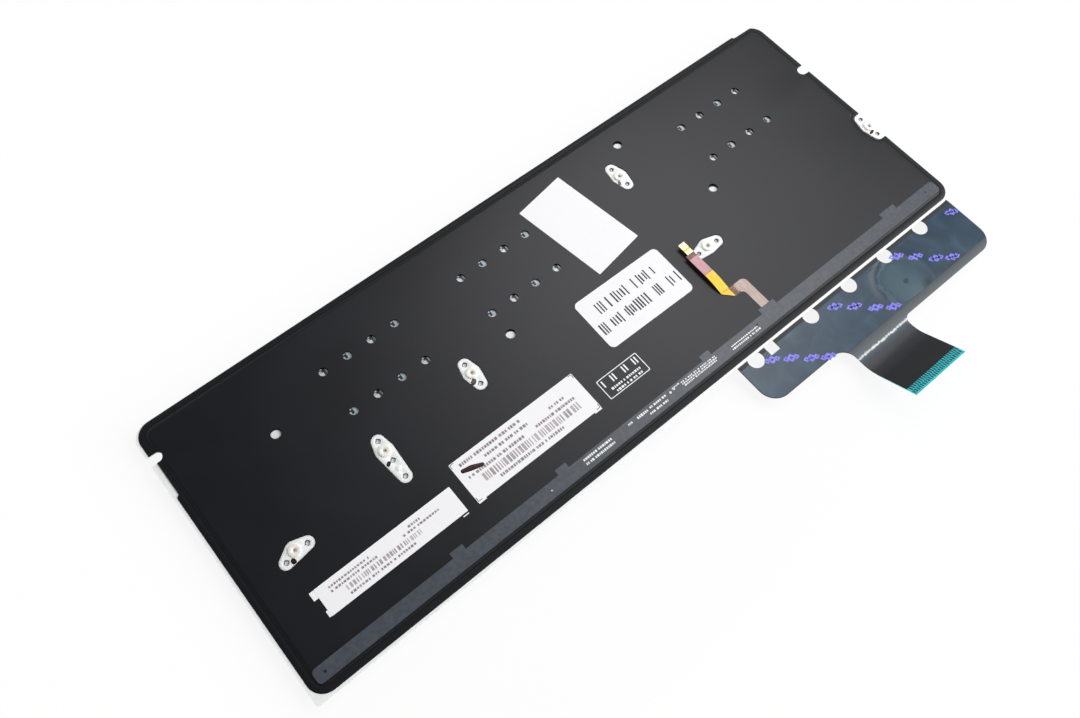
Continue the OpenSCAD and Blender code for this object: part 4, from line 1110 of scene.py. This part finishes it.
# Labels: paper with a pressure-sensitive back, die-cut and stuck on by hand. The plain one is bare. Generic
# rows of bars and a stripe code stand where the others are printed.
rounded_x, rounded_y, rounded_turn = 17.9, -11.8, math.radians(-0.4)
label_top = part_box("wide_label")[1].z / MM + INK_GAP
# Paper, clay coated: pure white and matt, with a fibre grain drawn coarser than the real one.
label_paper = grained("coated_label_paper", "f9f8fb", "fdfdfe", 0.35, 0.004, 0.6, IOR=1.5)
dress(label_paper, "plain_label", "rounded_label", "wide_label", "narrow_label")
# Thermal print: the grey-brown of a weak burn, fainter and patchy in the stripe codes.
thermal_ink = grained("grey_thermal_ink", "84777d", "a4989e", 2, 0.002, 0.6, IOR=1.5)
faint_ink = grained("faint_thermal_ink", "a1979b", "c9c2c4", 4, 0.002, 0.6, IOR=1.5)
# Offset print: solid blue-black.
bold_ink = grained("bold_grey_ink", "2c2c32", "414147", 0.5, 0.002, 0.6, IOR=1.5)


def on_rounded(u, v):
    """A point of the round-cornered label, which lies a little askew."""
    across, up = swing(u, v, rounded_turn)
    return rounded_x + across, rounded_y + up


def stripe_code(bm, start, end, v, height, mean):
    """Stripes of uneven width across a row."""
    u = start
    while u < end:
        w = mean * rng.choice((0.35, 0.5, 0.9))
        bar(bm, u + w / 2, v, w, height, label_top, paint=1)
        u += w + mean * rng.choice((0.35, 0.5, 0.8))


wide_print = bmesh.new()
for start, end, v, height in ((-69, -43.1, -22.7, 1.2), (-60.5, -42.5, -25.2, 1.1), (-33.4, -27, -25.6, 1),
                              (-69, -46, -27.9, 1.1), (-40.9, -23.2, -27.9, 1.1),
                              (-60.5, -33.6, -33.8, 1.1)):
    print_row(wide_print, start, end, v, height, label_top)
stripe_code(wide_print, -65.2, -24.6, -30.9, 2.8, 1.1)
label_x0, label_x1, label_y0, label_y1 = -71.8, -19.2, -36.4, -20.4
tick, tick_w, tick_in = 1.5, 0.2, 0.35
for x, side in ((label_x0, 1), (label_x1, -1)):
    for y, up in ((label_y0, 1), (label_y1, -1)):
        long_in = tick_in + tick / 2
        bar(wide_print, x + side * long_in, y + up * tick_in, tick, tick_w, label_top, paint=2)
        bar(wide_print, x + side * tick_in, y + up * long_in, tick_w, tick, label_top, paint=2)
piece("wide_label_print", wide_print, [thermal_ink, faint_ink, bold_ink], CHASSIS, "label")
narrow_print = bmesh.new()
for start, end, v in ((-123.9, -108.7, -28.5), (-93.9, -88.9, -28.5), (-123.9, -106.4, -30),
                      (-96.8, -82.4, -30), (-119.5, -94.5, -34.2)):
    print_row(narrow_print, start, end, v, 0.8, label_top, 0.7, 0.35)
stripe_code(narrow_print, -119.5, -91.6, -32.1, 1.7, 0.9)
piece("narrow_label_print", narrow_print, [thermal_ink, faint_ink], CHASSIS, "label")
# Slivers of paper that stick out from under the two printed labels.
label_tabs = bmesh.new()
for x, y, w, d in ((label_x0 + 1.6, label_y0 - 0.22, 3, 0.5), (label_x1 - 1.6, label_y0 - 0.22, 3, 0.5),
                   (-77.2, -37, 2.2, 0.35), (-128.4, -27.7, 2.4, 3), (-128.1, -35, 1, 2.2)):
    bar(label_tabs, x, y, w, d, panel_z + INK_GAP, 0.05)
piece("label_tabs", label_tabs, [label_paper], CHASSIS, "label")
rounded_print = bmesh.new()
for start, end, v in ((-13.5, 14.5, 4.2), (-17.6, 19, -3.1)):
    u = start
    while u < end:
        if rng.random() < 0.12:
            u += 1.5
            continue
        w = rng.choice((0.5, 0.5, 0.62))
        height = rng.choice((4.6, 4.6, 3.4))
        bar(rounded_print, u, v, w, height, label_top, place=on_rounded)
        u += w + rng.choice((0.5, 0.6, 0.85))
piece("rounded_label_print", rounded_print, [bold_ink], CHASSIS, "label")
# A stroke of the marking lacquer through a row of the wide label.
STROKE = ((-69.2, -24.9), (-66.2, -25.7), (-62.8, -27))
STROKE_RADII = (0.75, 1, 0.7)
strike = bmesh.new()
loft(strike, [at(wrap(STROKE, grow, radii=STROKE_RADII), label_top + z)
              for grow, z in ((0, 0), (-0.03, 0.015), (-0.15, INK_T))], (True, True))
piece("label_strike", strike, [marking_lacquer], CHASSIS, "label")

# Film's print: a frame with generic marks in it, beside the wide label. It is screen printed on the film in
# the strip's white ink.
film_print_top = panel_z + INK_GAP
box_x0, box_x1, box_y0, box_y1 = -14.75, 3.4, -36.4, -28.25
film_print = bmesh.new()
frame_edge, frame_inner = [rounded((box_x0 + box_x1) / 2, (box_y0 + box_y1) / 2, box_x1 - box_x0 - 2 * inset,
                                   box_y1 - box_y0 - 2 * inset, 0.5 - inset / 2, 4) for inset in (0, 0.32)]
loft(film_print, [at(frame_edge, film_print_top), at(frame_edge, film_print_top + INK_T),
                  at(frame_inner, film_print_top + INK_T), at(frame_inner, film_print_top)], closed=True)
for x in (-13.2, -9.4, -8.2, -4.1, -2.9, 0.6, 1.8):
    bar(film_print, x, -30.5, 0.55, 2.7, film_print_top)
for start, end, v in ((-12, 1.3, -33.6), (-11, 0.7, -35.2)):
    print_row(film_print, start, end, v, 0.9, film_print_top, 0.7, 0.3)
piece("film_print", film_print, [white_ink], CHASSIS, "black_film")

# Floor: a sheet of card, which the camera, gloss and glass see near white. It keeps the soft shadow close
# round the keyboard and turns plain white farther off. It isn't part of the object.
SHADE_SHARE, PLAIN_SHARE, SHADE_REACH = 0.89, 0.985, 24
# Card, uncoated: white and dead matt. The share of plain white grows with the distance from the object's box.
card = surface("white_card", "f8f8f8", 0.9)
ray = add(card, "LightPath")
seen = add(card, "Math", ray["Is Camera Ray"], ray["Is Glossy Ray"], operation="MAXIMUM")[0]
seen = add(card, "Math", seen, ray["Is Transmission Ray"], operation="MAXIMUM")[0]
place = add(card, "TexCoord")["Object"]
spot = add(card, "VectorMath", place, (cad_low + cad_high) / 2, operation="SUBTRACT")[0]
spot = add(card, "VectorMath", spot, operation="ABSOLUTE")[0]
spot = add(card, "VectorMath", spot, (cad_high - cad_low) / 2, operation="SUBTRACT")[0]
spot = add(card, "VectorMath", spot, (0, 0, 0), operation="MAXIMUM")[0]
away = add(card, "VectorMath", spot, operation="LENGTH")["Value"]
share = add(card, "MapRange", away, interpolation_type="SMOOTHSTEP", From_Max=SHADE_REACH * MM,
            To_Min=SHADE_SHARE, To_Max=PLAIN_SHARE)["Result"]
share = add(card, "Math", share, seen, operation="MULTIPLY")[0]
glow = add(card, "Emission", linear("ffffff"), 1.0)[0]
card_nodes = card.node_tree.nodes
blend = add(card, "MixShader", share, card_nodes["Principled BSDF"].outputs[0], glow)[0]
connect(card, card_nodes["Material Output"], {"Surface": blend})
floor_mesh = bpy.data.meshes.new("floor")
floor_shape = bmesh.new()
bmesh.ops.create_grid(floor_shape, x_segments=8, y_segments=8, size=3)
floor_shape.to_mesh(floor_mesh)
floor_shape.free()
floor_mesh.materials.append(card)
floor = bpy.data.objects.new("floor", floor_mesh)
bpy.context.scene.collection.objects.link(floor)
floor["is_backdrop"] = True

# Light: a soft box to the right of the keyboard and behind it draws the broad highlight on the film, and a
# larger one stands to the right in front. White walls stand round the keyboard to a low height, and the room
# above them is dim.
CEILING = 0.08
scene = bpy.context.scene
world = bpy.data.worlds.new("room")
world.use_nodes = True
scene.world = world
direction = add(world, "TexCoord")["Generated"]
height = add(world, "SeparateXYZ", direction)["Z"]
level = add(world, "MapRange", height, From_Min=0.35, From_Max=0.6, To_Min=1, To_Max=CEILING)["Result"]
level = add(world, "Math", level, add(world, "LightPath")["Is Camera Ray"], operation="MAXIMUM")[0]
connect(world, world.node_tree.nodes["Background"], {"Color": linear("ffffff"), "Strength": level})


def soft_box(name, aim, toward, distance, w, d, power):
    """An area lamp some way from a point, turned to it."""
    lamp = bpy.data.lights.new(name, "AREA")
    lamp.shape = "RECTANGLE"
    lamp.size, lamp.size_y, lamp.energy = w, d, power
    made = bpy.data.objects.new(name, lamp)
    away = Vector(toward).normalized()
    made.location = Vector(aim) + away * distance
    made.rotation_mode = "QUATERNION"
    made.rotation_quaternion = away.to_track_quat("Z", "Y")
    scene.collection.objects.link(made)


soft_box("key_box", (0.04, 0, 0), (0.43, 0.31, 0.88), 1.06, 0.54, 0.5, 2.9)
soft_box("side_box", (0, 0, 0), (0.66, -0.46, 0.6), 1.5, 1.2, 1.2, 22)

# Camera: where the photograph's was, solved from the keyboard's straight edges. Its place is in mm, and its
# turns are yaw, tilt and roll in degrees.
CAMERA_PLACE = (-118.26, -106.74, 294.52)
CAMERA_TURNS = (-44.154, 25.071, 4.901)
camera = bpy.data.objects.new("camera", bpy.data.cameras.new("camera"))
camera.data.sensor_width = 36
camera.data.lens = 30.94
camera.data.clip_start, camera.data.clip_end = 0.01, 20
yaw, tilt, roll = (math.radians(a) for a in CAMERA_TURNS)
camera.matrix_world = (Matrix.Translation(Vector(CAMERA_PLACE) * MM) @ Matrix.Rotation(yaw, 4, "Z")
                       @ Matrix.Rotation(tilt, 4, "X") @ Matrix.Rotation(roll, 4, "Z"))
scene.collection.objects.link(camera)
scene.camera = camera
scene.view_settings.view_transform = "Standard"

low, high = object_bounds()
